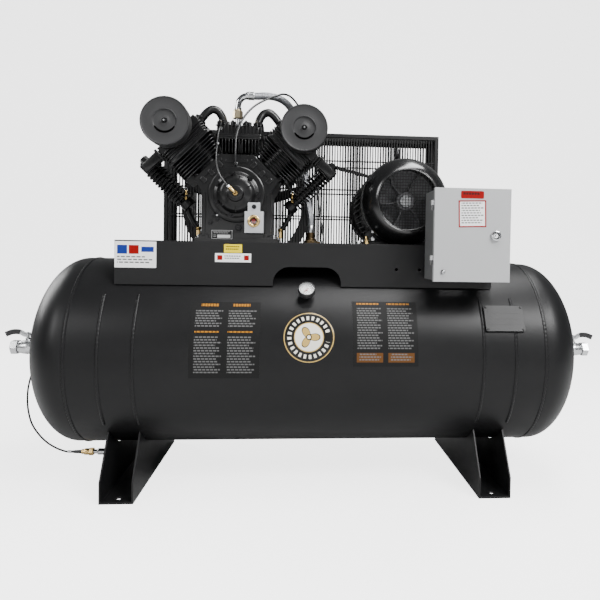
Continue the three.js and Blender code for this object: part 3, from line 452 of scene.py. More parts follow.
class Surface:
    """Grids of points gathered into one mesh."""

    def __init__(self):
        self.points, self.faces, self.slots, self.maps, self.count = [], [], [], [], 0

    def patch(self, grid, slot=0, ends=False, uv=None):
        """Joins every point of grid[row, column] to its neighbours. ends closes the first and the
        last row with one face each."""
        rows, columns = grid.shape[:2]
        r, c = np.arange(rows - 1)[:, None] * columns, np.arange(columns - 1)[None, :]
        corner = r + c + self.count
        quads = np.stack([corner, corner + 1, corner + columns + 1, corner + columns], -1).reshape(-1, 4)
        self.faces += quads.tolist()
        added = len(quads)
        if ends:
            ring = np.arange(columns - 1) + self.count
            self.faces += [ring[::-1].tolist(), (ring + (rows - 1) * columns).tolist()]
            added += 2
        if uv is None:
            uv = np.stack(np.meshgrid(np.linspace(0, 1, rows), np.linspace(0, 1, columns), indexing="ij"),
                          -1)
        self.points.append(grid.reshape(-1, 3))
        self.maps.append(uv.reshape(-1, 2))
        self.slots += [slot] * added
        self.count += rows * columns
        return self

    def turned(self, at, profile, segments=48, slot=0, radius=0.0):
        """A profile of [radius, distance] points turned about a frame's third axis."""
        p = fillet(profile, radius) if radius else np.asarray(profile, float)
        ring = circle(segments)
        grid = point(at, p[:, None, 0] * ring[None, :, 0], p[:, None, 0] * ring[None, :, 1], p[:, None, 1])
        return self.patch(grid, slot)

    def lathe(self, at, profile, segments=48, slot=0, radius=0.0):
        """The same, for a profile and a rounding in millimetres."""
        return self.turned(at, np.array(profile) * MM, segments, slot, radius * MM)

    def disc(self, at, radius, low, high, segments=48, slot=0, rounding=0.0):
        """A solid disc or rod between two distances along a frame's third axis, in millimetres."""
        profile = [[0, low], [radius, low], [radius, high], [0, high]]
        return self.lathe(at, profile, segments, slot, rounding)

    def slab(self, at, outline, low, high, edge=0.0, slot=0):
        """An outline pushed straight along a frame's third axis. Its two rims are drawn in towards
        its middle by edge, which rounds them, and once more on the flat, which keeps its shading flat."""
        p = np.vstack([outline, outline[:1]])
        centre = outline.mean(0)
        inwards = (centre - p) / np.maximum(np.linalg.norm(centre - p, axis=1, keepdims=True), 1e-9)
        levels = [(low, edge * 2.5), (low, edge), (low + edge * 0.3, edge * 0.3), (low + edge, 0),
                  (high - edge, 0), (high - edge * 0.3, edge * 0.3), (high, edge), (high, edge * 2.5)]
        if not edge:
            levels = [(low, 0), (high, 0)]
        rows = [point(at, *(p + inwards * inset).T, np.full(len(p), level)) for level, inset in levels]
        return self.patch(np.array(rows), slot, True)

    def plate(self, at, outline, low, high, edge=0.0, slot=0):
        """The same, for an outline, levels and rounding in millimetres."""
        return self.slab(at, np.array(outline) * MM, low * MM, high * MM, edge * MM, slot)

    def block(self, at, low, high, corner=2 * MM, edge=1 * MM, slot=0):
        """A box between two corners in a local frame, its edges rounded."""
        outline = rectangle(low[0], low[1], high[0], high[1], corner)
        return self.slab(at, outline, low[2], high[2], edge, slot)

    def brick(self, at, low, high, corner=2, edge=1, slot=0):
        """The same, for corners and roundings in millimetres."""
        return self.block(at, np.array(low) * MM, np.array(high) * MM, corner * MM, edge * MM, slot)

    def swept(self, path, outline, slot=0, scale=None, close=True):
        """An outline of [across, up] points carried along a path. The frame at each point is the
        path's tangent, the most suitable fixed axis squared to it, and their product."""
        p = np.asarray(path, float)
        tangent = np.gradient(p, axis=0)
        tangent /= np.linalg.norm(tangent, axis=1, keepdims=True)
        candidates = np.array([X, Y, Z, X + Y, X - Y, Y + Z, Y - Z, X + Z, X - Z, X + Y + Z, X - Y + Z])
        candidates = candidates / np.linalg.norm(candidates, axis=1, keepdims=True)
        guide = candidates[np.argmin(np.abs(tangent @ candidates.T).max(0))]
        up = guide - tangent * (tangent @ guide)[:, None]
        up /= np.linalg.norm(up, axis=1, keepdims=True)
        across = np.cross(tangent, up)
        o = np.asarray(outline, float)
        size = np.ones(len(p)) if scale is None else scale
        grid = (p[:, None] + across[:, None] * (o[None, :, :1] * size[:, None, None])
                + up[:, None] * (o[None, :, 1:] * size[:, None, None]))
        length = np.concatenate([[0], np.cumsum(np.linalg.norm(np.diff(p, axis=0), axis=1))])
        uv = np.stack(np.broadcast_arrays(np.linspace(0, 1, len(o))[None, :], length[:, None]), -1)
        return self.patch(grid, slot, close, uv)

    def bolt(self, at, across, height, slot=0, washer=True):
        """A hexagon head on a washer, in millimetres: two turned profiles, the head with six sides."""
        across, height, base = across * MM, height * MM, 0.0
        if washer:
            self.turned(at, [[0, 0], [across * 0.92, 0], [across * 0.92, 1.6 * MM], [0, 1.6 * MM]], 24,
                        slot)
            base = 1.2 * MM
        r = across / math.sqrt(3)
        head = [[0, base], [r, base], [r, base + height * 0.82], [r * 0.84, base + height],
                [0, base + height]]
        self.turned(at, head, 6, slot)
        return self.turned(at, [[0, height], [r * 0.5, height], [r * 0.42, base + height * 1.3],
                                [0, base + height * 1.3]], 16, slot)

    def bolt_circle(self, at, radius, angles, lift, *size):
        """A ring of bolts about a local frame's third axis, in millimetres."""
        for angle in angles:
            self.bolt(moved(at, radius * math.cos(angle), radius * math.sin(angle), lift), *size)

    def bolts(self, at, across, along, lift, *size):
        """A bolt at each pair of places across and along a local frame, in millimetres."""
        for u in across:
            for v in along:
                self.bolt(moved(at, u, v, lift), *size)


def make(name, surface, finishes, body="machine", stands_for=(), sharp=32):
    """Makes one piece of the machine from a surface, in one finish or a list of them, by name."""
    mesh = bpy.data.meshes.new(name)
    mesh.from_pydata(np.vstack(surface.points), [], surface.faces)
    mesh.polygons.foreach_set("material_index", surface.slots)
    vertex = np.empty(len(mesh.loops), np.int32)
    mesh.loops.foreach_get("vertex_index", vertex)
    mesh.uv_layers.new(name="map").data.foreach_set("uv", np.vstack(surface.maps)[vertex].ravel())
    return place_mesh(name, mesh, finishes, body, stands_for, 0.0, sharp)


def place_mesh(name, mesh, finishes, body, stands_for=(), bevel=0.0, sharp=32):
    """Closes a mesh's seams, turns its faces out and puts it on a body of the machine."""
    work = bmesh.new()
    work.from_mesh(mesh)
    bmesh.ops.remove_doubles(work, verts=work.verts, dist=2e-6)
    bmesh.ops.dissolve_degenerate(work, edges=work.edges, dist=1e-7)
    bmesh.ops.recalc_face_normals(work, faces=work.faces)
    work.to_mesh(mesh)
    work.free()
    mesh.shade_smooth()
    mesh.set_sharp_from_angle(angle=math.radians(sharp))
    piece = bpy.data.objects.new(name, mesh)
    bpy.context.scene.collection.objects.link(piece)
    for finish in [finishes] if isinstance(finishes, str) else finishes:
        mesh.materials.append(material(finish))
    if bevel:
        rounding = piece.modifiers.new("rounded edges", "BEVEL")
        rounding.width, rounding.segments = bevel, 2
        rounding.limit_method, rounding.angle_limit = "ANGLE", math.radians(40)
        rounding.harden_normals = False
    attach(piece, body)
    if stands_for:
        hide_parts(*([stands_for] if isinstance(stands_for, str) else stands_for))
    return piece


def softened(node, finish, bevel=1.2 * MM, body="machine"):
    """A copy of a CAD node with its flat faces merged and its edges rounded, standing for it."""
    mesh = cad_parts[node].data.copy()
    mesh.materials.clear()
    work = bmesh.new()
    work.from_mesh(mesh)
    bmesh.ops.remove_doubles(work, verts=work.verts, dist=1e-5)
    bmesh.ops.dissolve_limit(work, angle_limit=math.radians(1), verts=work.verts, edges=work.edges)
    work.to_mesh(mesh)
    work.free()
    mesh.polygons.foreach_set("material_index", np.zeros(len(mesh.polygons), np.int32))
    return place_mesh(f"{node}_body", mesh, finish, body, node, bevel)


def finish_cad(finish, *nodes):
    """Gives CAD nodes that are shown as they are a better material."""
    for node in nodes:
        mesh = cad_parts[node].data
        mesh.materials.clear()
        mesh.materials.append(material(finish))


MATERIALS = {}


def material(name):
    """One of the machine's finishes, made when it is first asked for."""
    if name not in MATERIALS:
        MATERIALS[name] = RECIPES[name]()
    return MATERIALS[name]


def settings(name):
    return getattr(bpy.context.scene, f"compressor_{name}")


WHITE, RED, BLACK = (0.88, 0.88, 0.88), (0.24, 0.0, 0.0005), (0.008, 0.008, 0.008)
ORANGE, PALE, DIM, BLUE = (0.42, 0.17, 0.01), (0.28, 0.28, 0.28), (0.13, 0.13, 0.13), (0.008, 0.025, 0.20)


def clear_glass():
    """Thin glass: mostly see-through, with a sharp reflection and a little dust."""
    finish = Finish("gauge glass", (0.92, 0.94, 0.94), 0.04, Coat_Weight=0.5)
    finish.set(finish.shader, {"Alpha": finish.noise(60.0) * 0.08 + 0.1})
    finish.material.surface_render_method = "BLENDED"
    return finish.material


def studio_floor():
    """Pale matt floor. A glow is added only for the rays that come straight from the camera."""
    finish = Finish("studio floor paint", (0.62, 0.62, 0.62), 0.8, Specular_IOR_Level=0.1,
                    Emission_Strength=3.0)
    seen = finish.node("ShaderNodeLightPath").outputs["Is Camera Ray"]
    finish.set(finish.shader, {"Emission Color": finish.mixed(seen, (0, 0, 0, 1), (1, 1, 1, 1))})
    return finish.material


def badge_finish():
    """Round badge in its own map, by distance and angle from the middle: a gold rim, a ring of
    short dashes, a pale disc, and a three-bladed fan where the distance is under a cosine of
    three times the angle."""
    finish = Finish("tank badge", (0.008, 0.008, 0.008), 0.3, Specular_IOR_Level=0.3)
    u, v = finish.uv()
    across, up = u - 0.5, v - 0.5
    square = across * across + up * up
    distance = square.math("SQRT", square)
    angle = across.math("ARCTAN2", up, across)
    pale, gold, dark = (0.80, 0.78, 0.70, 1.0), (0.48, 0.33, 0.10, 1.0), (0.012, 0.012, 0.012, 1.0)
    rim = distance.above(0.462) * distance.below(0.482)
    dashes = distance.above(0.335) * distance.below(0.410) * (angle * 24.0).wave().above(0.0)
    gaps = (angle.math("ABSOLUTE", angle) - 0.05).math("ABSOLUTE",
                                                       angle.math("ABSOLUTE", angle) - 0.12).above(0.13)
    blades = distance.below((angle * 3.0 + math.pi / 2).wave() * 0.075 + 0.145) * distance.above(0.035)
    inner = distance.below((angle * 3.0 + math.pi / 2).wave() * 0.075 + 0.125) * distance.above(0.055)
    colour = finish.mixed(rim, finish.colour, gold)
    colour = finish.mixed(dashes * gaps, colour, pale)
    colour = finish.mixed(distance.below(0.285), colour, gold)
    colour = finish.mixed(distance.below(0.268), colour, pale)
    colour = finish.mixed(blades, colour, dark)
    colour = finish.mixed(inner, colour, gold)
    finish.set(finish.shader, {"Base Color": colour, "Roughness": finish.noise(30.0) * 0.15 + 0.22})
    return finish.material


RECIPES = {
    "tank": lambda: paint("satin black tank paint", settings("tank").paint, 0.40, 0.25, 0.3, 0.24),
    "sheet": lambda: paint("satin black sheet paint", settings("tank").paint, 0.44, 0.2, 0.35),
    "wire": lambda: paint("black wire coating", settings("pump").paint, 0.45, 0.1, 0.1),
    "cast": lambda: casting("black painted casting", settings("pump").paint),
    "motor": lambda: casting("black painted motor iron", settings("pump").paint, 0.4),
    "cover": lambda: paint("gloss black cover paint", settings("pump").paint, 0.22, 0.15, 0.15, 0.8),
    "can": lambda: paint("matt filter paint", (0.021, 0.021, 0.022), 0.55, 0.3, 0.4, 0.4),
    "cabinet": lambda: paint("grey cabinet paint", settings("cabinet").paint, 0.42, 0.3, 0.25, 0.4),
    "dull brass": lambda: metal(
        "stained brass", (0.12, 0.085, 0.045), 0.4, stain=0.5, stain_colour=(0.03, 0.025, 0.02)),
    "steel": lambda: metal("machined steel", (0.55, 0.56, 0.57), 0.32),
    "zinc": lambda: metal("zinc plated steel", (0.66, 0.67, 0.68), 0.28, stain=0.2),
    "black bolt": lambda: metal(
        "oiled black steel", (0.035, 0.035, 0.036), 0.3, stain=0.1, stain_colour=(0.02, 0.02, 0.02)),
    "chrome": lambda: metal("bright plating", (0.66, 0.67, 0.68), 0.10, stain=0.12),
    "brass": lambda: metal("brass", (0.74, 0.52, 0.21), 0.26, stain=0.4, stain_colour=(0.25, 0.14, 0.05)),
    "pale brass": lambda: metal(
        "plated brass", (0.80, 0.68, 0.45), 0.3, stain=0.3, stain_colour=(0.4, 0.3, 0.15)),
    "alloy": lambda: metal("cast aluminium", (0.74, 0.75, 0.76), 0.42, stain=0.2,
                           stain_colour=(0.4, 0.4, 0.4)),
    "braid": lambda: braided("steel braid", (0.42, 0.43, 0.45)),
    "rubber": lambda: moulded("belt rubber", (0.012, 0.012, 0.012), 0.7, 0.4),
    "plastic": lambda: moulded("black plastic", (0.018, 0.018, 0.019), 0.42),
    "tube": lambda: moulded("black tube", (0.010, 0.010, 0.0105), 0.3, 0.05),
    "red": lambda: moulded("red plastic", (0.30, 0.004, 0.004), 0.3),
    "dial": lambda: moulded("white dial", (0.83, 0.83, 0.80), 0.45, 0.05),
    "ink": lambda: moulded("dial print", (0.02, 0.02, 0.02), 0.5, 0.05),
    "sight": lambda: moulded("oil behind glass", (0.035, 0.004, 0.004), 0.08, 0.02, Coat_Weight=1.0),
    "glass": clear_glass,
    "fan": lambda: moulded("grey fan plastic", (0.10, 0.10, 0.105), 0.3),
    # Near-black and without shine: painted shadow, laid as an arc in the filter's stamped ring.
    "gap": lambda: moulded("painted slot shadow", (0.0008, 0.0008, 0.0008), 0.9, 0.02, Specular_IOR_Level=0.0),
    # The cabinet grey darkened to about a third: painted shade for the body's sides, which face away from
    # the lamps.
    "cabinet side": lambda: paint(
        "cabinet paint darkened as painted shade", shade(settings("cabinet").paint, 0.34)[:3], 0.42, 0.3, 0.25, 0.3),
    "pale block": lambda: metal(
        "pale sight block", (0.62, 0.63, 0.65), 0.5, stain=0.15, stain_colour=(0.5, 0.5, 0.5)),
    "floor": studio_floor,
    "badge": badge_finish,
    "pump plate": lambda: printed(
        "pump plate print", PALE, [(0.03, 0.06, 0.97, 0.94, BLACK),
                                   (0.28, 0.14, 0.90, 0.48, (0.6, 0.6, 0.6))],
        [(0.08, 0.56, 0.92, 0.90, 2, PALE), (0.08, 0.14, 0.24, 0.48, 2, PALE)]),
    "red label": lambda: printed("red door label", RED, [], [(0.08, 0.22, 0.92, 0.78, 1, BLACK)]),
    "notice": lambda: printed("door notice", RED, [(0.05, 0.05, 0.95, 0.95, WHITE)],
                              [(0.10, 0.10, 0.92, 0.92, 9, BLACK)]),
    "maker label": lambda: printed(
        "maker label print", WHITE, [(0.06, 0.52, 0.30, 0.86, BLUE), (0.34, 0.52, 0.58, 0.86, RED),
                                     (0.64, 0.60, 0.94, 0.80, BLUE)], [(0.06, 0.12, 0.94, 0.44, 3, BLACK)]),
    "yellow label": lambda: printed(
        "yellow label print", (0.80, 0.62, 0.0), [], [(0.10, 0.20, 0.90, 0.80, 2, BLACK)]),
    "ring label": lambda: printed(
        "ring label print", WHITE, [(0.06, 0.22, 0.20, 0.78, RED), (0.80, 0.22, 0.94, 0.78, RED)],
        [(0.26, 0.25, 0.74, 0.75, 2, BLACK)]),
    "left label": lambda: printed(
        "left tank label", BLACK, [], [(0.14, 0.90, 0.42, 0.975, 1, ORANGE),
                                       (0.60, 0.90, 0.88, 0.975, 1, ORANGE),
                                       (0.07, 0.64, 0.46, 0.88, 7, DIM), (0.54, 0.64, 0.94, 0.88, 7, DIM),
                                       (0.07, 0.56, 0.46, 0.60, 1, ORANGE),
                                       (0.54, 0.56, 0.94, 0.60, 1, ORANGE),
                                       (0.07, 0.05, 0.46, 0.53, 14, DIM),
                                       (0.54, 0.05, 0.94, 0.53, 14, DIM)]),
    "right label": lambda: printed(
        "right tank label", BLACK, [(0.06, 0.06, 0.46, 0.20, (0.10, 0.04, 0.01)),
                                    (0.54, 0.06, 0.94, 0.20, (0.10, 0.04, 0.01))],
        [(0.07, 0.92, 0.46, 0.975, 1, ORANGE), (0.54, 0.92, 0.94, 0.975, 1, ORANGE),
         (0.07, 0.24, 0.46, 0.89, 17, DIM), (0.54, 0.24, 0.94, 0.89, 17, DIM),
         (0.10, 0.07, 0.44, 0.19, 3, DIM), (0.58, 0.07, 0.92, 0.19, 3, DIM)]),
}


# ------------------------------------------------------------------ tank

def on_tank(x, angle, lift=0.0):
    """Points on the shell's front, by distance along the tank and angle up from its middle."""
    reach = TANK_RADIUS + lift
    return np.stack(np.broadcast_arrays(x, TANK_Y - reach * np.cos(angle), TANK_Z + reach * np.sin(angle)),
                    -1)


def tank_angle(z):
    """The angle on the shell's front at a height, taken on the bare shell."""
    return math.asin((z - TANK_Z) / TANK_RADIUS)


def weld_ring(surface, at, radius, bead, slot=0, ripples=150, start=0.0, sweep=TAU):
    """Weld bead round an axis: a small circle carried on a big one, its radius rippled by a sine
    of the angle."""
    steps = int(sweep / TAU * ripples * 4)
    angle = start + np.linspace(0, sweep, steps + 1)[:, None]
    size = bead * (1 + 0.12 * np.sin(angle * ripples) + 0.06 * np.sin(angle * 17 + 1))
    turn = np.linspace(0, TAU, 9)[None, :]
    reach = radius + size * np.cos(turn)
    grid = point(at, reach * np.cos(angle), reach * np.sin(angle), size * 1.8 * np.sin(turn) + 0 * angle)
    return surface.patch(grid, slot)


def tank_shell():
    bead = settings("tank").weld
    shell = Surface()
    wall = 6 * MM
    along = axes((0, TANK_Y, TANK_Z), X, Z)
    rim = 1.2 * MM
    profile = [[TANK_RADIUS - wall, -TANK_HALF], [TANK_RADIUS - rim, -TANK_HALF],
               [TANK_RADIUS, -TANK_HALF + rim], [TANK_RADIUS, TANK_HALF - rim],
               [TANK_RADIUS - rim, TANK_HALF], [TANK_RADIUS - wall, TANK_HALF],
               [TANK_RADIUS - wall, -TANK_HALF]]
    shell.turned(along, profile, 192)
    for end in (-1, 1):
        weld_ring(shell, along._replace(origin=along.origin + X * end * TANK_HALF), TANK_RADIUS - 0.4 * MM,
                  bead)
    seam = on_tank(np.linspace(-TANK_HALF, TANK_HALF, 700), np.full(700, 2.4), 0)
    ripple = 1 + 0.15 * np.sin(np.arange(700) * 0.9)
    shell.swept(seam, circle(8, bead * 0.9), 0, ripple, True)
    return make("tank_shell_body", shell, "tank", stands_for="tank_shell", sharp=40)


def tank_head(side, name):
    """A dished head: half of a 2:1 ellipse turned about the tank's axis, on a straight flange that
    is drawn in a little where it enters the shell, with a welded boss round the outlet."""
    flange, port, wall = 24 * MM, 17 * MM, 6 * MM
    start, crown = TANK_HALF + 0.3 * MM, HEAD_CROWN
    depth = crown - start - flange
    turn = np.linspace(0, math.acos(port / TANK_RADIUS), 34)
    outside = np.stack([TANK_RADIUS * np.cos(turn), start + flange + depth * np.sin(turn)], -1)
    inner = TANK_RADIUS - wall
    turn = turn[::-1]
    inside = np.stack([inner * np.cos(turn), start + flange + (depth - wall) * np.sin(turn)], -1)
    inside[0, 0] = port
    profile = np.vstack([[[TANK_RADIUS - 1.6 * MM, start]], [[TANK_RADIUS - 0.6 * MM, start + 3 * MM]],
                         [[TANK_RADIUS, start + 9 * MM]], outside, inside,
                         [[inner, start]], [[TANK_RADIUS - 1.6 * MM, start]]])
    head = Surface()
    along = axes((0, TANK_Y, TANK_Z), X * side, Z)
    head.turned(along, profile, 192)
    boss = crown - 1.2 * MM
    head.turned(along, [[17 * MM, boss - 9 * MM], [31 * MM, boss - 9 * MM], [31 * MM, boss],
                        [28 * MM, boss + 3 * MM], [17 * MM, boss + 3 * MM], [17 * MM, boss - 9 * MM]], 64,
                0, 1 * MM)
    weld_ring(head, along._replace(origin=along.origin + X * side * (boss - 2 * MM)), 31 * MM, 2.2 * MM, 0,
              46)
    return make(f"tank_head_{name}_body", head, "tank", stands_for=f"tank_head_{name}", sharp=40)


def tank_label(name, x0, x1, z0, z1, finish):
    """A sheet that follows the shell's front between two heights, with the shell behind it."""
    u, v = np.meshgrid(np.linspace(0, 1, 14), np.linspace(0, 1, 24), indexing="ij")
    angle = tank_angle(z0) + (tank_angle(z1) - tank_angle(z0)) * v
    uv = np.stack([u, v], -1)
    x = x0 + (x1 - x0) * u
    sheet = Surface()
    front, back = on_tank(x, angle, LABEL_LIFT), on_tank(x, angle, LABEL_SINK)
    sheet.patch(front, 0, False, uv)
    sheet.patch(back, 0, False, uv * 0)
    for edge in (np.s_[0, :], np.s_[-1, :], np.s_[:, 0], np.s_[:, -1]):
        sheet.patch(np.stack([front[edge], back[edge]]), 0, False, np.stack([uv[edge], uv[edge]]))
    return make(name, sheet, finish, sharp=30)


def tank_badge():
    radius, centre = settings("tank").badge, (BADGE_X, tank_angle(BADGE_Z))
    r, turn = np.meshgrid(np.linspace(0, 1, 18), np.linspace(0, TAU, 97), indexing="ij")
    lift = np.where(r > 0.999, -0.5, 0.0) + 1.1 * (1 - np.clip((r - 0.93) / 0.07, 0, 1) ** 2)
    uv = np.stack([0.5 + 0.5 * r * np.cos(turn), 0.5 + 0.5 * r * np.sin(turn)], -1)
    x = centre[0] + radius * r * np.cos(turn)
    angle = centre[1] + radius * r * np.sin(turn) / TANK_RADIUS
    sheet = Surface().patch(on_tank(x, angle, lift * MM), 0, False, uv)
    sheet.patch(on_tank(x, angle, LABEL_SINK), 0, False, uv)
    return make("tank_badge", sheet, "badge", sharp=50)


def data_plate():
    """A plate on four short studs in front of the shell, with three raised blank fields."""
    plate = Surface()
    x0, x1, z0, z1 = DATA_PLATE
    mid = (tank_angle(z0) + tank_angle(z1)) / 2
    out = np.array([0, -math.cos(mid), math.sin(mid)])
    at = axes(on_tank(np.array((x0 + x1) / 2), np.array(mid)), out, np.cross(out, X))
    at = at._replace(u=X, v=np.array([0, math.sin(mid), math.cos(mid)]))
    half_x, half_v = (x1 - x0) / 2, (z1 - z0) / 2 / math.cos(mid)
    plate.block(at, (-half_x, -half_v, 3 * MM), (half_x, half_v, 5 * MM), 5 * MM, 0.6 * MM)
    fields = [(-0.80, 0.40, 0.80, 0.62), (-0.80, -0.05, 0.80, 0.12), (-0.80, -0.50, 0.80, -0.33)]
    for u0, v0, u1, v1 in fields:
        plate.block(at, (u0 * half_x, v0 * half_v, 4.6 * MM), (u1 * half_x, v1 * half_v, 5.25 * MM), 1 * MM,
                    0.15 * MM)
    for u in (-1, 1):
        for v in (-1, 1):
            stud = at._replace(origin=point(at, u * (half_x - 7 * MM), v * (half_v - 6 * MM), -6 * MM))
            plate.turned(stud, [[0, 0], [4 * MM, 0], [4 * MM, 11.6 * MM], [2.6 * MM, 13 * MM],
                                [0, 13.2 * MM]], 16)
    return make("tank_data_plate", plate, "sheet", sharp=30)


def legs():
    for name in ("left", "right"):
        softened(f"leg_{name}", "sheet", 1.4 * MM)
        low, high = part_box(f"leg_{name}")
        x = (low.x + high.x) / 2
        welds = Surface()
        reach = math.radians(40)
        for edge in (low.x, high.x):
            at = axes((edge, TANK_Y, TANK_Z), X, Z)
            weld_ring(welds, at, TANK_RADIUS + 0.6 * MM, 2.6 * MM, 0, 150, math.pi - reach, 2 * reach)
        for front in (-1, 1):
            washer = axes((x, TANK_Y + front * 252 * MM, 5.2 * MM), Z)
            welds.lathe(washer, [[10.4, 0], [17, 0], [17, 1.6], [10.4, 1.6], [10.4, 0]], 32)
        make(f"leg_welds_{name}", welds, "tank", sharp=50)


def deck():
    softened("deck", "sheet", 1.6 * MM)
    low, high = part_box("deck")
    fixings = Surface()
    sole = DECK_TOP + 14.5 * MM
    places = [(CRANK[0] + sx * 121 * MM, CRANK[1] + y) for sx in (-1, 1)
              for y in (-95 * MM, -5 * MM, 85 * MM)]
    places += [(MOTOR[0] + sx * 92 * MM, TANK_Y + y) for sx in (-1, 1) for y in (-78 * MM, 98 * MM)]
    for x, y in places:
        fixings.bolt(axes((x, y, sole), Z), 17, 9)
    for y in (-160 * MM, 80 * MM):
        fixings.bolt(axes((MOTOR[0] - 148 * MM, TANK_Y + y, DECK_TOP), Z), 13, 7)
    make("deck_bolts", fixings, "zinc")
    plug = Surface()
    plug.disc(axes(EARTH_STUD, Z), 9, 0, 14, 6)
    plug.lathe(axes(EARTH_STUD, Z), [[0, 14], [6, 14], [6.5, 24], [5, 28], [0, 29]], 24)
    make("deck_earth_stud", plug, "brass")
    rivets = Surface()
    for x in np.linspace(low.x + 30 * MM, high.x - 30 * MM, 2):
        rivets.bolt(axes((x, high.y, DECK_TOP - 60 * MM), Y), 13, 6)
    make("deck_side_bolts", rivets, "black bolt")


# ------------------------------------------------------------------ gauge and outlets

def gauge():
    low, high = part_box("gauge_case")
    tilt = GAUGE_TILT
    n = np.array([0, -math.sin(tilt), math.cos(tilt)])
    at = Frame(np.array([(low.x + high.x) / 2, TANK_Y, TANK_Z]), X,
               np.array([0, math.cos(tilt), math.sin(tilt)]), n)
    case = Surface()
    case.lathe(at, [[0, 303], [7.4, 303], [7.4, 314], [12, 316], [12, 322], [24.6, 324], [25.9, 327],
                    [25.9, 342], [24.6, 344.8], [23.4, 344.8], [22.9, 342], [22.9, 333.2], [0, 333.2]], 96)
    case.disc(at, 13, 303, 309, 6)
    make("gauge_case_body", case, "plastic", stands_for="gauge_case", sharp=30)
    face = Surface().lathe(at, [[0, 333], [22.8, 333], [22.8, 333.7], [0, 333.9]], 96)
    make("gauge_dial", face, "dial")
    print_marks = Surface()
    for mark in range(31):
        angle = math.radians(DIAL_START - mark * DIAL_STEP)
        out = np.array([math.cos(angle), math.sin(angle)])
        across = np.array([-math.sin(angle), math.cos(angle)])
        length, width = (5.2, 0.55) if mark % 5 == 0 else (2.6, 0.25)
        corners = [out * r + across * w for r, w in ((20.6, -width), (20.6, width), (20.6 - length, width),
                                                     (20.6 - length, -width))]
        print_marks.plate(at, corners, 333.6, 334.15)
    print_marks.disc(at, 3, 334, 334.4, 24)
    make("gauge_scale", print_marks, "ink", sharp=30)
    glass = Surface().lathe(at, [[0, 341.6], [22.8, 341.6], [22.8, 342.6], [12, 343.4], [0, 343.7]], 64)
    make("gauge_glass", glass, "glass")
    rest = math.radians(DIAL_START)
    along = at._replace(u=at.u * math.cos(rest) + at.v * math.sin(rest),
                        v=at.v * math.cos(rest) - at.u * math.sin(rest))
    hand = Surface().plate(along, [[-7, -1.3], [2, -1.5], [17.5, -0.35], [17.5, 0.35], [2, 1.5], [-7, 1.3]],
                           337, 337.8, 0.15)
    hand.lathe(along, [[0, 335], [3.2, 335], [3.2, 338], [2.2, 339], [0, 339.2]], 32)
    make("gauge_hand", hand, "red", "gauge_hand", "gauge_needle")


def outlet(side, name):
    """Ball valve on a head's crown: threaded nipple, hexagons at both ends, round middle, gland."""
    at = Frame(np.array([0, TANK_Y, TANK_Z]), Y * side, Z, X * side)
    body = Surface()
    nipple = [[0, 874]] + [[16.3 - 0.7 * (i % 2), 884 + 1.1 * i] for i in range(28)] + [[0, 917]]
    body.lathe(at, nipple, 48)
    for start, end in ((914.5, 932), (978, 1002)):
        body.lathe(at, [[13.2, start], [22, start], [25, start + 1.8], [25, end - 1.8], [22, end],
                        [13.2, end], [13.2, start]], 6)
    body.lathe(at, [[13.1, 930], [20, 930], [22, 936], [24, 950], [22, 966], [19.5, 979], [13.1, 979],
                    [13.1, 930]], 64, 0, 2)
    body.lathe(at, [[0, 960], [5, 962], [9.6, 967], [13.05, 975], [13.05, 958], [0, 957]], 48)
    gland = axes((OUTLET_STEM * side, TANK_Y, TANK_Z), Z, Y)
    body.disc(gland, 9, 16, 31.5, 6)
    body.lathe(gland, [[0, 14], [11, 14], [11, 24], [8.4, 27], [0, 27]], 40)
    make(f"{name}_outlet", body, "zinc", stands_for=f"{name}_valve_body", sharp=28)
    lever = Surface()
    route = np.array([[-9, 42], [4, 42], [12, 43], [22, 49], [32, 51.5], [50, 51], [62, 47],
                      [72.2, 42.8]]) * MM
    spine = point(Frame(np.array([OUTLET_STEM * side, TANK_Y, TANK_Z]), Y * side, Z, X * side), 0.0,
                  route[:, 1], route[:, 0])
    strip = rectangle(-8 * MM, -1.4 * MM, 8 * MM, 1.4 * MM, 0.8 * MM, 3)
    closed = np.vstack([strip, strip[:1]])
    lever.swept(smooth_path(spine, 40), closed)
    lever.bolt(axes((OUTLET_STEM * side, TANK_Y, TANK_Z + 43 * MM), Z), 11, 5)
    lever.disc(axes((OUTLET_STEM * side, TANK_Y, TANK_Z), Z), 4.8, 32.5, 43, 24)
    grip = smooth_path(spine, 40)[17:]
    sleeve = rectangle(-8.8 * MM, -2.3 * MM, 8.8 * MM, 2.3 * MM, 2 * MM, 4)
    lever.swept(grip, np.vstack([sleeve, sleeve[:1]]), 1)
    make(f"{name}_handle", lever, ["zinc", "plastic"], f"{name}_lever",
         f"{name}_valve_lever", sharp=30)


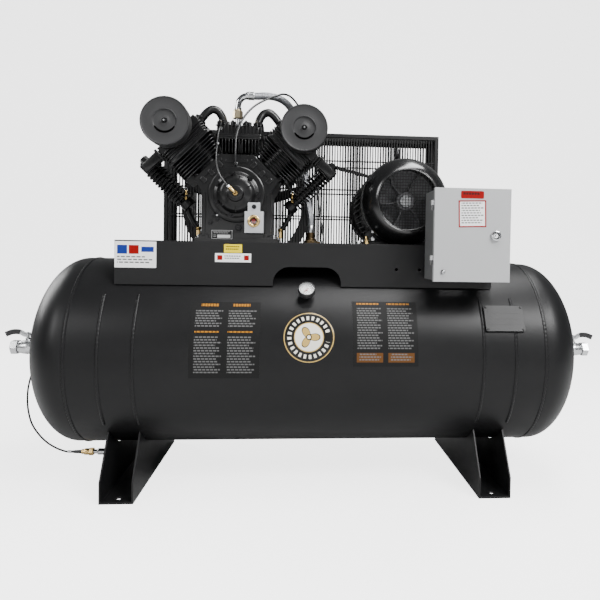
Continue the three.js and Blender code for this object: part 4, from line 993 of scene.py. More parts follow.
def drain():
    """Drain line: elbow under the shell, nipple, strainer, tube nut and a taper, then the tube."""
    down = axes((DRAIN_X, TANK_Y, 0), Z)
    fitting = Surface()
    fitting.disc(down, 9.6, 50, 122.5, 32, 0, 1)
    fitting.lathe(down, [[0, 48], [12, 48], [14, 50], [14, 78], [12, 80], [0, 80]], 6)
    fitting.lathe(down, [[0, 104], [16, 104], [16, 115], [0, 117]], 40, 0, 1)
    run = axes((DRAIN_X + 8 * MM, TANK_Y, DRAIN_Z), -X, Z)
    fitting.disc(run, 9.6, 2, 21, 32, 0, 1)
    fitting.lathe(run, [[0, 20]] + [[8 - 0.6 * (i % 2), 20 + 1.1 * i] for i in range(10)] + [[0, 31]], 32)
    fitting.disc(run, 7, 62, 77, 32, 1)
    fitting.lathe(run, [[0, 76], [11.4, 76], [13, 78], [13, 90], [11.4, 92], [0, 92]], 6)
    fitting.lathe(run, [[0, 91], [11, 91], [11, 106], [8.4, 108], [8.4, 116], [0, 116]], 40, 0, 0.8)
    fitting.lathe(run, [[0, 115], [6.4, 115], [5.4, 138], [3.7, 151.6], [0, 151.8]], 32, 2)
    fitting.lathe(run, [[0, 30], [9.6, 30], [11, 32], [11, 61], [9.6, 63], [0, 63]], 48, 1, 0.6)
    make("drain_line_fittings", fitting, ["brass", "chrome", "plastic"],
         stands_for="drain_fitting", sharp=28)
    route = [(-808.3, 0, 62), (-820, 0, 62), (-840, 1, 67), (-868, 5, 78), (-896, 11, 94), (-925, 20, 118),
             (-954, 35, 150), (-973, 50, 195), (-982, 65, 235), (-986, 82, 270), (-984, 108, 315),
             (-972, 150, 370), (-940, 205, 430), (-890, 262, 485), (-820, 312, 532), (-740, 340, 568),
             (-650, 348, 592), (-560, 345, 603), (-515, 337, 604), (-486.5, 332, 603)]
    thin_line("drain_hose", np.array(route) * MM + Y * TANK_Y, 3.1 * MM, "drain_tube", 260)


def thin_line(name, points, radius, node, count=200, ferrules=True):
    """A tube along a smooth path, with a crimped ferrule at each end."""
    path = smooth_path(points, count)
    line = Surface().swept(path, circle(16, radius))
    if ferrules:
        for start, inward in ((path[0], path[4] - path[0]), (path[-1], path[-5] - path[-1])):
            at = axes(start, inward)
            line.turned(at, np.array([[0, 0.2], [1.45, 0.2], [1.45, 3], [1.25, 3.6], [1.45, 4.2], [1.45, 8],
                                      [1, 9], [0, 9]]) * [radius, 1.3 * MM], 24, 1)
    return make(name, line, ["tube", "zinc"], stands_for=node)


def tank_back_fittings():
    """Pressure switch on its stem at the back of the shell, and the check valve through the deck."""
    s, c = math.sin(math.radians(60)), math.cos(math.radians(60))
    at = Frame(np.array([-420 * MM, TANK_Y, TANK_Z]), X, np.array([0, c, -s]), np.array([0, s, c]))
    switch = Surface()
    switch.disc(at, 7.4, 302, 326, 32, 1)
    switch.lathe(at, [[0, 322], [11.4, 322], [13, 324], [13, 334], [11.4, 336], [0, 336]], 6, 1)
    switch.brick(at, (-46, -30, 340), (46, 30, 352), 6, 1, 1)
    switch.brick(at, (-45.5, -29.5, 352), (45.5, 29.5, 404), 9, 4)
    for u in (-34, 34):
        for v in (-20, 20):
            switch.lathe(moved(at, u, v, 402.6), [[0, 0], [3.4, 0], [3.2, 1.1], [0, 1.4]], 16, 1)
    unloader = axes(point(at, -46 * MM, 0, 366 * MM), -X, Y)
    switch.disc(unloader, 8, 0, 8, 6, 2)
    switch.disc(unloader, 6, 8, 19.5, 32, 2, 0.6)
    make("pressure_switch_body", switch, ["plastic", "zinc", "brass"],
         stands_for="pressure_switch", sharp=30)
    valve, up = Surface(), axes((0, CHECK_VALVE_Y, 0), Z)
    valve.disc(up, 15.8, 671, 723, 48, 0, 1)
    valve.lathe(up, [[0, 722], [23.5, 722], [26, 725], [26, 797], [23.5, 800], [0, 800]], 6)
    valve.lathe(up, [[0, 798], [20, 798], [20, 806], [14, 808], [14, 829.6], [0, 829.6]], 48, 0, 1)
    valve.lathe(axes((20 * MM, CHECK_VALVE_Y, 790 * MM), X),
                [[0, 0], [8, 0], [8, 8], [6, 9], [6, 15.8], [0, 15.8]], 6)
    make("check_valve_body", valve, "dull brass", stands_for="check_valve", sharp=28)


# ------------------------------------------------------------------ pump

def crankcase():
    softened("crankcase", "cast", 3.2 * MM)
    case = Surface()
    face = axes((CRANK[0], CASE_FRONT, CRANK[2]), -Y, Z)._replace(u=X)
    case.lathe(face, [[61, -4], [92, -4], [92, 3], [88, 5], [80, 5.5], [61, 5.5], [61, -4]], 96, 0, 1)
    for side in (-1, 1):
        rib = [[side * 100, 4], [side * 110, 4], [side * 110, -136], [side * 100, -136]]
        case.plate(face, rib if side > 0 else rib[::-1], -3, 5, 1.6)
        case.brick(face, (side * 105 - 16, -153, -4), (side * 105 + 16, -128, 4.4), 5, 1.6)
    case.brick(face, (-46, -150, -3), (96, -143, 4), 3, 1.4)
    for side in (-1, 1):
        lean = face._replace(u=(X * side - Z) * DIAGONAL, v=(X * side + Z) * DIAGONAL)
        case.brick(lean, (-48, 112, -4), (50, 122, 3.2), 4, 1.6)
        for across in (-30, 8, 42):
            case.brick(lean, (across - 7, 96, -4), (across + 7, 118, 4.4), 4, 1.8)
    case.brick(face, (-36, 104, -4), (36, 114, 3.6), 4, 1.6)
    make("crankcase_ribs", case, "cast", sharp=35)
    nuts = Surface()
    nuts.bolt_circle(face, 68, np.radians([100, 152, 204, 256, 308, 0, 50]), 11.5, 11, 6)
    for u, v in ((-62, -58), (-72, -68), (-60, -80), (-82, -92)):
        nuts.bolt(moved(face, u, v, 0.0), 10, 6)
    nuts.lathe(moved(face, -62, -68, 0.0), [[0, 0], [3, 0], [3, 5], [0, 6]], 16, 1)
    nuts.bolt(moved(face, 8, -108, 0.0), 19, 8)
    make("crankcase_bolts", nuts, ["black bolt", "zinc"])
    plate = Surface()
    plate.brick(face, (-80, -147, 4), (-10, -115, 5.6), 2.5, 0.4)
    make("pump_plate", plate, "black bolt", sharp=30)
    sticker("pump_plate_print", moved(face, -45, -131, 5.5), 33.5 * MM, 14.5 * MM, "pump plate")
    rivets = Surface()
    for u in (-77, -13):
        for v in (-144, -118):
            rivets.lathe(moved(face, u, v, 5.2), [[0, 0], [1.8, 0], [1.4, 0.9], [0, 1.2]], 12)
    make("pump_plate_rivets", rivets, "zinc")


def front_cover():
    """Bearing cover: flange, two stepped domes and the breather boss, as one turned profile."""
    at = axes((CRANK[0], CASE_FRONT - 0.3 * MM, CRANK[2]), -Y, Z)
    cover = Surface().lathe(at, [[23, -29], [60.8, -29], [60.8, 0], [74, 0], [74, 9], [71, 11], [64, 12],
                                 [61, 13.5], [56, 21], [50, 25], [44, 26.2], [32, 27.2], [26.5, 29],
                                 [24, 39], [22, 40], [9, 40], [8, 38.5], [8, 20], [23, 15], [23, -29]], 128)
    for angle in np.radians([30, 78, 126, 174, 222, 270]):
        across = np.array([-math.sin(angle), math.cos(angle)])
        out = np.array([math.cos(angle), math.sin(angle)])
        corners = [out * r + across * w for r, w in ((32, -2.4), (58, -1.8), (58, 1.8), (32, 2.4))]
        cover.plate(at._replace(u=X), corners, 12, 26.8, 0.8)
    make("front_cover", cover, "cast", stands_for="front_bearing_cover", sharp=30)
    elbow = Surface()
    boss = at.origin - Y * 40 * MM
    elbow.lathe(axes(boss + Y * 4 * MM, -Y, Z), [[0, 0], [7.4, 0], [8.6, 2], [8.6, 8], [7.4, 9.5],
                                                 [0, 9.5]], 6)
    knee = smooth_path([boss - Y * 4 * MM, boss + np.array([-3, -13, 4]) * MM,
                        boss + np.array([-14, -15.4, 14]) * MM], 24)
    elbow.swept(knee, circle(24, 5.2 * MM))
    end = axes(knee[-1], knee[-1] - knee[-4])
    elbow.disc(end, 6.6, -3, 5, 6)
    elbow.lathe(end, [[0, 4], [5, 4], [5, 11], [4, 12], [0, 12]], 32, 1)
    make("breather_elbow", elbow, ["brass", "zinc"], sharp=30)


def rear_housing():
    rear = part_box("rear_bearing_housing")[0].y
    at = axes((CRANK[0], rear, CRANK[2]), Y, Z)
    housing = Surface().lathe(at, [[22.8, 0], [54.6, 0], [54.6, 24], [76, 24], [76, 34], [73, 36], [56, 38],
                                   [50, 42], [46.5, 60], [44, 102], [41, 104], [22.8, 104], [22.8, 0]], 96)
    housing.bolt_circle(at, 66, np.radians(np.arange(0, 360, 45)), 35.5, 11, 6, 1)
    make("rear_housing", housing, ["cast", "black bolt"],
         stands_for="rear_bearing_housing", sharp=30)


def oil_sight():
    """Pale block with a round window: brass ring, dark red glass, and a tab held by one screw."""
    left, right = CRANK[0] + 31 * MM, CRANK[0] + 91 * MM
    face = axes((0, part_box("oil_sight")[0].y + 8 * MM, 0), -Y, Z)._replace(u=X)
    bottom, top = CRANK[2] - 126 * MM, CRANK[2] - 57 * MM
    sight = Surface()
    sight.block(face, (left, bottom, -32 * MM), (right, top, 0.0), 1.6 * MM, 0.8 * MM)
    sight.block(face, (left + 9 * MM, top - 1 * MM, -20 * MM),
                (right - 12 * MM, CRANK[2] - 28 * MM, -10 * MM), 3 * MM, 0.8 * MM)
    centre = ((left + right) / 2 - 1 * MM, CRANK[2] - 88 * MM)
    ring = face._replace(origin=point(face, *centre, 0.0))
    sight.lathe(ring, [[9, -6], [20, -6], [20, 2], [19, 4.4], [16, 5.4], [13.4, 5], [11.4, 3.6], [10.4, 1],
                       [9, -1], [9, -6]], 96, 1, 0.5)
    sight.lathe(ring, [[0, -6], [10.6, -6], [10.6, -0.6], [9.6, 0.2], [0, 0.8]], 64, 2)
    sight.lathe(ring, [[3.1, 0.3], [4.8, 0.3], [4.8, 1.5], [3.1, 1.5], [3.1, 0.3]], 48, 3)
    screw = face._replace(origin=point(face, centre[0], CRANK[2] - 41.5 * MM, -10 * MM))
    sight.disc(screw, 7.4, 0, 1.2, 32, 4)
    sight.lathe(screw, [[2.6, 1], [4.9, 1], [4.9, 5.6], [4.3, 6], [2.6, 6], [2.6, 2.2], [0, 2.2]], 24, 4)
    sight.disc(axes((centre[0], CASE_FRONT - 0.5 * MM, CRANK[2] - 100 * MM), -Y, Z), 20, 0, 6, 48, 0)
    make("oil_sight_block", sight, ["pale block", "brass", "sight", "red",
                                    "black bolt"], stands_for="oil_sight", sharp=28)


def low_cylinder(side, name):
    """Leaning finned cylinder. Its fins are rounded plates, cut back on the inner side where they
    meet the next bank: the half width there is the distance from the crank times tan 22.5."""
    at, s = bank(side), settings("pump")
    base, top, half, depth = CYLINDER_BASE, LOW_TOP, 88, 84
    body = Surface()
    body.lathe(at, [[45.2, 109], [50, 109], [50, 131], [56, 139], [56, 219], [45.2, 219], [45.2, 109]], 96)
    body.brick(at, (-53, -62, base), (60, 62, base + 12), 12, 2)
    body.brick(at, (-half, -depth, top - 8), (half, depth, top), 18, 1.5)
    along = (base + 19) * MM
    while along < (top - 14) * MM:
        inner = min(half * MM, along * BANK_GAP - 1.5 * MM)
        body.block(at, (-inner, -depth * MM, along), (92 * MM, depth * MM, along + s.fin), 18 * MM,
                   0.9 * MM)
        along += s.fin_pitch
    body.brick(at, (-54, -63, base - 1.4), (61, 63, base + 0.8), 12, 0.3, 2)
    body.bolts(at, (-44, 51), (-53, 53), base + 11.5, 13, 8, 1)
    make(f"cylinder_{name}_body", body, ["cast", "black bolt", "alloy"],
         stands_for=f"cylinder_{name}", sharp=32)


def low_head(side, name):
    """Finned head: shelves level with the cylinder's fins, upright ribs, and the port block."""
    at, s = bank(side), settings("pump")
    half, depth, base, crown = 88, 82, LOW_TOP + 0.3, LOW_CROWN
    head = Surface()
    head.brick(at, (-(half - 7), -(depth - 7), base), (half - 7, depth - 7, base + 40), 14, 2)
    for level in np.arange(base, base + 38, 9.4):
        head.block(at, (-half * MM, -depth * MM, level * MM), (half * MM, depth * MM, level * MM + s.fin),
                   16 * MM, 0.9 * MM)
    for v in np.arange(-70, 71, 12.7):
        head.brick(at, (-(half - 6), v - 1.4, base + 36), (half - 6, v + 1.4, crown - 8), 0.8, 0.8)
    head.brick(at, (-38, -84, base + 38), (38, 60, crown), 9, 3)
    head.brick(at, (-half, -20, base + 36), (half, 20, crown), 5, 3)
    head.bolts(at, (-60, 60), (-62, 62), base + 40, 17, 22, 1)
    head.bolts(at, (-26, 26), (-70, 46), crown - 0.5, 11, 5, 1)
    make(f"head_{name}_body", head, ["cast", "black bolt"],
         stands_for=f"head_{name}", sharp=32)


def high_cylinder():
    """Upright finned cylinder: thin fins along Y, each ending where the leaning banks leave room."""
    at, s = bank(0), settings("pump")
    base, top, half, depth = CYLINDER_BASE, HIGH_TOP, 78, 70
    body = Surface()
    body.lathe(at, [[25.2, 109], [31, 109], [31, 131], [36, 139], [36, 199], [25.2, 199], [25.2, 109]], 64)
    body.brick(at, (-53, -52, base), (53, 52, base + 12), 10, 2)
    body.brick(at, (-half, -depth, top - 8), (half, depth, top), 12, 1.5)
    for u in np.arange(-66, 66.1, 11):
        low = max(base + 15, (abs(u) + 4) / BANK_GAP) * MM
        body.block(at, (u * MM - s.fin / 2, -(depth - 2) * MM, low),
                   (u * MM + s.fin / 2, (depth - 2) * MM, (top - 4) * MM), 1.2 * MM, 0.9 * MM)
    for u in (-42, 42):
        body.bolt(moved(at, u, -44, base + 11.5), 13, 8, 1)
    make("cylinder_centre_body", body, ["cast", "black bolt"],
         stands_for="cylinder_centre", sharp=32)


def high_head():
    at, s = bank(0), settings("pump")
    half, depth, base = 78, 70, HIGH_TOP + 0.3
    head = Surface()
    head.brick(at, (-(half - 5), -(depth - 6), base), (half - 5, depth - 6, base + 38), 12, 2)
    head.brick(at, (-(half + 1), -depth, base), (half + 1, depth, base + 9), 12, 2)
    for u in np.arange(-72, 72.1, 12):
        head.block(at, (u * MM - s.fin / 2, -(depth - 1) * MM, (base + 8) * MM),
                   (u * MM + s.fin / 2, (depth - 1) * MM, 247 * MM), 1.2 * MM, 0.9 * MM)
    for u in (-60, 60):
        boss = moved(at, u, 0.0, 0.0)
        head.lathe(boss, [[0, 230], [20, 230], [19, 246], [19, 250], [0, 250]], 48, 0, 1.5)
    outlet_boss = moved(at, -12, 0.0, 0.0)
    head.disc(outlet_boss, 14, 232, 250, 48, 0, 1.5)
    head.bolts(at, (-66, -22, 22, 66), (-56, 56), base + 37, 15, 14, 1)
    for u in (-44, 30):
        head.lathe(moved(at, u, -28, 0.0), [[0, 236], [9, 236], [9, 256], [6, 258], [0, 258]], 32, 0, 1)
    tap = axes(point(at, -60 * MM, -(depth - 4) * MM, 226 * MM), -Y, Z)
    head.disc(tap, 5.5, 0, 3.6, 6, 2)
    make("head_centre_body", head, ["cast", "black bolt", "zinc"],
         stands_for="head_centre", sharp=32)


def intercooler(side, name):
    """Finned tube that leans beside a bank, with a header from the head, a sump, a relief valve
    that stands upright under its fins, and a drain bend with its cock."""
    at = bank(side)
    stem = moved(at, 142, 0, 0)
    cooler = Surface()
    profile = [[0, 116], [14, 116]]
    for level in np.arange(125, 266, 12.6):
        profile += [[14, level], [31.6, level + 0.3], [33, level + 1.4], [33, level + 2.8],
                    [31.6, level + 3.9], [14, level + 4.2]]
    profile += [[14, 274], [0, 274]]
    cooler.lathe(stem, profile, 64)
    cooler.lathe(stem, [[0, 92], [21, 92], [24, 95], [24, 117], [21, 120], [0, 120]], 48)
    cooler.brick(at, (88.4, -20, 272), (170, 20, 304), 7, 3)
    cooler.brick(at, (88.4, -24, 267), (98, 24, 309), 6, 1.6)
    cooler.lathe(stem, [[0, 302], [13, 302], [15, 304], [15, 320], [13, 322], [0, 322]], 6)
    for v in (-13, 13):
        cooler.bolt(axes(point(at, 158 * MM, v * MM, 303.5 * MM), at.n, Y), 9, 5, 1)
    bend = [point(at, u * MM, 0.0, n * MM) for u, n in ((142, 106), (158, 88), (167, 64), (173, 42),
                                                        (176, 22))]
    cooler.swept(smooth_path(bend, 30), circle(24, 8.4 * MM))
    make(f"intercooler_{name}_body", cooler, ["cast", "black bolt"],
         stands_for=f"intercooler_{name}", sharp=30)
    valves = Surface()
    relief = axes(point(at, 142 * MM, -14 * MM, 112 * MM), Z, Y)
    valves.lathe(relief, [[0, 6], [7, 6], [7, 13], [5.4, 14], [5.4, 24], [6.8, 25], [6.8, 31], [5, 32],
                          [5, 40], [3.4, 43], [0, 43.6]], 24)
    loop = circle(24, 5 * MM)
    valves.swept(point(relief, loop[:, 0], 0.0, 46 * MM + loop[:, 1]), circle(8, 0.7 * MM), 1)
    cock = axes(bend[-1], Z, Y)
    valves.lathe(cock, [[0, -26], [5, -26], [7, -24], [7, -4], [5.6, -2], [0, -2]], 6)
    valves.lathe(cock, [[0, -3], [8, -3], [9.6, 0], [9.6, 6], [0, 7]], 32)
    valves.brick(cock, (-1.6, -12, -36), (1.6, 12, -25), 1.4, 0.6)
    make(f"intercooler_valves_{name}", valves, ["brass", "zinc"], sharp=28)


def air_filter(side, name):
    """A flat can on a neck. Its face has a rolled rim, a stamped ring, a near-black arc on the ring's lower
    side that is painted shadow, and a wing nut.
    """
    at, radius = bank(side), settings("pump").filter_radius / MM
    can = axes(point(at, 0, 0, 307 * MM), -Y, Z)._replace(u=X)
    body = Surface()
    body.lathe(can, [[0, 122], [radius - 5, 122], [radius - 1, 123], [radius, 126], [radius, 166],
                     [radius + 0.8, 168], [radius + 0.8, 172], [radius - 0.6, 174.6], [radius - 2.4, 175],
                     [radius - 4, 173.4], [radius - 6, 172.6], [44, 173.0], [40, 173.8], [37.5, 173.6],
                     [35.5, 172], [33.5, 170.2], [31, 169.8], [22, 170.4], [15, 171.4], [12, 173],
                     [9, 173.6], [0, 173.6]], 128)
    # The lower arc in slot 1 is near-black: painted shadow where the stamped ring's groove would be dark.
    slot = circle(30, 1.0, math.radians(-152), math.radians(124))
    taper = np.sqrt(np.clip(1 - np.linspace(-1, 1, 31) ** 6, 0.05, 1))
    body.swept(point(can, slot[:, 0] * 35 * MM, slot[:, 1] * 35 * MM, 173.2 * MM), circle(12, 3.4 * MM), 1,
               taper)
    ridge = circle(24, 1.0, math.radians(15), math.radians(95))
    body.swept(point(can, ridge[:, 0] * 37 * MM, ridge[:, 1] * 37 * MM, 173.4 * MM), circle(12, 2.2 * MM),
               0)
    body.disc(can, 8.4, 172, 174.4, 32, 3)
    body.lathe(can, [[0, 173], [3.2, 173], [3.2, 181], [2.4, 182.6], [0, 183]], 24, 2)
    tilt = math.radians(28)
    wings = can._replace(u=can.u * math.cos(tilt) + can.v * math.sin(tilt),
                         v=can.v * math.cos(tilt) - can.u * math.sin(tilt))
    for hand in (-1, 1):
        wing = np.array([[2, -2], [5, -3], [9, -2.6], [10.5, 0.4], [8.6, 3], [5, 2.8], [2, 2]]) * hand
        body.slab(wings, wing * MM, 175.2 * MM, 178.6 * MM, 0.7 * MM, 3)
    neck = axes(point(at, 0, 0, 281 * MM), -Y, Z)
    body.lathe(neck, [[0, 84.3], [27, 84.3], [27, 90], [22, 92], [22, 121], [0, 123]], 48, 0, 0.8)
    make(f"air_filter_{name}_body", body, ["can", "gap", "zinc", "black bolt"],
         stands_for=f"air_filter_{name}", sharp=28)


def crossover(side, name):
    """U-bend from a low-pressure head's inner side to the top of the high-pressure head."""
    start = point(bank(side), -88.3 * MM, 0, 283 * MM)
    knees = [(-9, 0, 9), (-24, -2, 27)]
    route = [start] + [start + np.array([side * x, side * y, z]) * MM for x, y, z in knees]
    route += [CRANK + np.array([side * x, side * y, z]) * MM
              for x, y, z in ((97, 11, 301), (79, 8, 297), (66, 3, 280), (60, 0, 262), (60, 0, 250.5))]
    pipe = Surface().swept(smooth_path(route, 90), circle(48, 13.8 * MM))
    pipe.brick(Frame(CRANK + X * side * 60 * MM, X, Y, Z), (-17, -26, 250.3), (17, 26, 257.5), 8, 1.2)
    mouth = axes(start, -bank(side).u, Y)
    pipe.lathe(mouth, [[0, 0.2], [21, 0.2], [21, 7], [15, 9], [0, 9]], 48, 0, 1)
    for hand in (-1, 1):
        pipe.bolt(Frame(CRANK + np.array([side * 60, hand * 20, 257]) * MM, X, Y, Z), 11, 6, 1)
        pipe.bolt(mouth._replace(origin=mouth.origin + (mouth.n * 6.4 + Y * hand * 17) * MM), 9, 5, 1)
    make(f"transfer_pipe_{name}", pipe, ["cast", "black bolt"],
         stands_for=f"crossover_pipe_{name}", sharp=30)


def discharge():
    """Discharge stub, union nut, bright elbow and its ferrule, then the braided hose to the tank."""
    up = Frame(CRANK - X * 12 * MM, X, Y, Z)
    stub = Surface()
    stub.lathe(up, [[0, 250.4], [13, 250.4], [13, 257], [8, 258], [8, 276], [0, 276]], 6, 0)
    stub.disc(up, 9.4, 256, 275, 40, 0)
    stub.lathe(up, [[0, 274], [15.4, 274], [17.8, 276.4], [17.8, 299], [15.4, 301.4], [0, 301.4]], 6, 1)
    stub.lathe(up, [[0, 300], [14, 300], [14.4, 303], [12.6, 305], [0, 306]], 48, 1)
    bend = [(-12, 0, 300), (-12, 0, 318), (-8, 0, 334), (3, 0, 348), (18, 0, 354), (32, 0, 355),
            (46, 0, 355)]
    stub.swept(smooth_path(np.array(bend) * MM + CRANK, 60), circle(40, 10.8 * MM), 2)
    stub.lathe(up, [[10, 306], [12.8, 307], [12.8, 312], [10, 313]], 48, 2)
    along = axes(CRANK + Z * 355 * MM, X, Z)
    stub.lathe(along, [[10, 16], [12.6, 17], [13, 21], [12.6, 24], [10, 25]], 48, 2)
    stub.lathe(along, [[0, 24], [13.8, 24], [14.4, 25.4], [14.4, 28], [13.7, 29], [13.7, 39], [14.4, 40],
                       [14.4, 43], [13.6, 44.4], [0, 44.4]], 48, 0)
    make("discharge_fittings", stub, ["zinc", "pale brass", "chrome"],
         stands_for="discharge_elbow", sharp=28)
    route = [(46.3, 0, 355), (60, 0, 355), (80, 1, 357), (118, 12, 356), (153, 40, 346), (186, 85, 312),
             (210, 130, 252), (222, 160, 172), (230, 172, 72), (240, 160, -10), (248, 138, -52),
             (248, 130, -88), (248, 130, -107.7)]
    path = smooth_path(np.array(route) * MM + CRANK, 320)
    hose = Surface().swept(path, circle(40, 12.3 * MM), 0)
    end = axes(path[-1], path[-8] - path[-1])
    hose.lathe(end, [[0, 0.3], [14.4, 0.3], [14.4, 24], [13, 26], [0, 26]], 40, 1)
    make("discharge_hose_braid", hose, ["braid", "zinc"],
         stands_for="discharge_hose", sharp=35)


def pump_tubes():
    unloader = [(-3, -125.3, 96), (-3, -131, 96), (-3, -138, 116), (-1, -128, 194), (20, -106, 256),
                (50, -88, 296), (85, -68, 324), (118, -42, 345), (145, -12, 362), (172, 24, 362),
                (206, 72, 332), (238, 118, 280), (258, 150, 220), (266, 172, 150), (272, 178, 60),
                (282, 170, -20), (292, 152, -90), (297, 134, -138), (291, 130, -147), (284.5, 130, -148)]
    thin_line("unloader_line", np.array(unloader) * MM + CRANK, 3.5 * MM, "unloader_tube", 240)
    breather = [(-60, -70.3, 226), (-60, -88, 226), (-62, -112, 200), (-64, -132, 150), (-63, -146, 100),
                (-50, -160, 58), (-30, -174, 30), (-13, -182, 12), (-3, -179, 2), (0, -165.6, 0)]
    thin_line("breather_line", np.array(breather) * MM + CRANK, 2.9 * MM, "breather_tube", 160, False)


# ------------------------------------------------------------------ drive

def grooved(outer, front, rear):
    """A rim's outside as [radius, y] points: flat, with a V cut to 16 mm depth at each groove."""
    rim = [[outer, front]]
    for centre in GROOVES:
        rim += [[outer, centre - 9.5], [outer - 16, centre - 6], [outer - 16, centre + 6],
                [outer, centre + 9.5]]
    return rim + [[outer, rear]]


def flywheel():
    at = Frame(np.array([CRANK[0], TANK_Y, CRANK[2]]), Z, X, Y)
    front, rear = (WHEEL_FRONT - TANK_Y) / MM, (WHEEL_REAR - TANK_Y) / MM
    wheel = Surface()
    rim = grooved(WHEEL_RIM, front + 0.3, rear - 0.3)
    wheel.lathe(at, rim + [[214, rear - 0.3], [214, front + 0.3], [WHEEL_RIM, front + 0.3]], 160, 0)
    wheel.lathe(at, [[22.6, front], [44, front], [46, front + 2], [46, rear - 2], [44, rear], [22.6, rear],
                     [22.6, front]], 64)
    for angle in np.radians(np.arange(5) * 72 + 18):
        out = X * math.cos(angle) + Z * math.sin(angle)
        side = np.cross(Y, out)
        pitch = math.radians(24)
        blade = Frame(at.origin + Y * (front + rear) / 2 * MM, side * math.cos(pitch) + Y * math.sin(pitch),
                      Y * math.cos(pitch) - side * math.sin(pitch), out)
        wheel.brick(blade, (-19, -6, 38), (19, 6, 220), 4.5, 1)
    make("flywheel_body", wheel, "cast", "crank", "flywheel", sharp=30)
    wheel_end = Surface()
    wheel_end.bolt(at._replace(origin=at.origin + Y * (rear - 2) * MM), 34, 10)
    make("flywheel_bolt", wheel_end, "black bolt", "crank")


def motor_pulley():
    at = Frame(MOTOR.copy(), Z, X, Y)
    front, rear = (WHEEL_FRONT - TANK_Y) / MM, (WHEEL_REAR - TANK_Y) / MM
    web = 102
    pulley = Surface()
    rim = grooved(PULLEY_RIM, front + 0.3, rear - 0.3)
    pulley.lathe(at, rim + [[web, rear - 0.3], [web, front + 34], [38, front + 34], [38, rear - 1],
                            [19.4, rear - 1], [19.4, front + 1], [38, front + 1], [38, front + 24],
                            [web, front + 24], [web, front + 0.3], [PULLEY_RIM, front + 0.3]], 128)
    make("motor_pulley_body", pulley, "cast", "motor_shaft", "motor_pulley", sharp=30)


def belt(centre_y, name):
    """A cogged belt on two pulleys. Where the line of centres has length d, the belt leaves both
    pulleys at the angle whose cosine is (R - r) / d from that line; the cogs are cut into its
    inside by a square wave of the way along."""
    big, small = BIG_PITCH * MM, SMALL_PITCH * MM
    first, second = CRANK[[0, 2]], MOTOR[[0, 2]]
    line = second - first
    leave = math.acos((big - small) / np.linalg.norm(line))
    lean = math.atan2(line[1], line[0])
    pieces = [(first, big, np.linspace(leave, TAU - leave, 400)),
              (second, small, np.linspace(-leave, leave, 200)), (first, big, np.array([leave]))]
    normal = np.vstack([circle_at(lean + turn) for _, _, turn in pieces])
    spine = np.vstack([centre + radius * circle_at(lean + turn) for centre, radius, turn in pieces])
    length = np.concatenate([[0], np.cumsum(np.linalg.norm(np.diff(spine, axis=0), axis=1))])
    cogs = settings("drive").cogs
    even = np.linspace(0, length[-1], cogs * 4 + 1)
    spine = np.stack([np.interp(even, length, spine[:, k]) for k in (0, 1)], -1)
    normal = np.stack([np.interp(even, length, normal[:, k]) for k in (0, 1)], -1)
    inside = np.where(np.arange(len(even)) % 4 < 2, -5.4 * MM, -2.6 * MM)
    y = np.array([-6.2, 6.2, 4.2, -4.2, -6.2]) * MM
    height = np.stack([np.full(len(even), 5.3 * MM)] * 2 + [inside] * 2 + [np.full(len(even), 5.3 * MM)],
                      -1)
    flat = spine[:, None] + normal[:, None] * height[..., None]
    grid = np.stack([flat[..., 0], np.broadcast_to(TANK_Y + centre_y * MM + y, flat.shape[:2]),
                     flat[..., 1]], -1)
    make(f"{name}_cogged", Surface().patch(grid), "rubber", stands_for=name, sharp=25)


def circle_at(angle):
    return np.stack([np.cos(angle), np.sin(angle)], -1)


def running_gear():
    softened("crankshaft", "steel", 0.8 * MM, "crank")
    for name in ("left", "centre", "right"):
        finish_cad("alloy", f"piston_{name}", f"rod_{name}")


# ------------------------------------------------------------------ motor

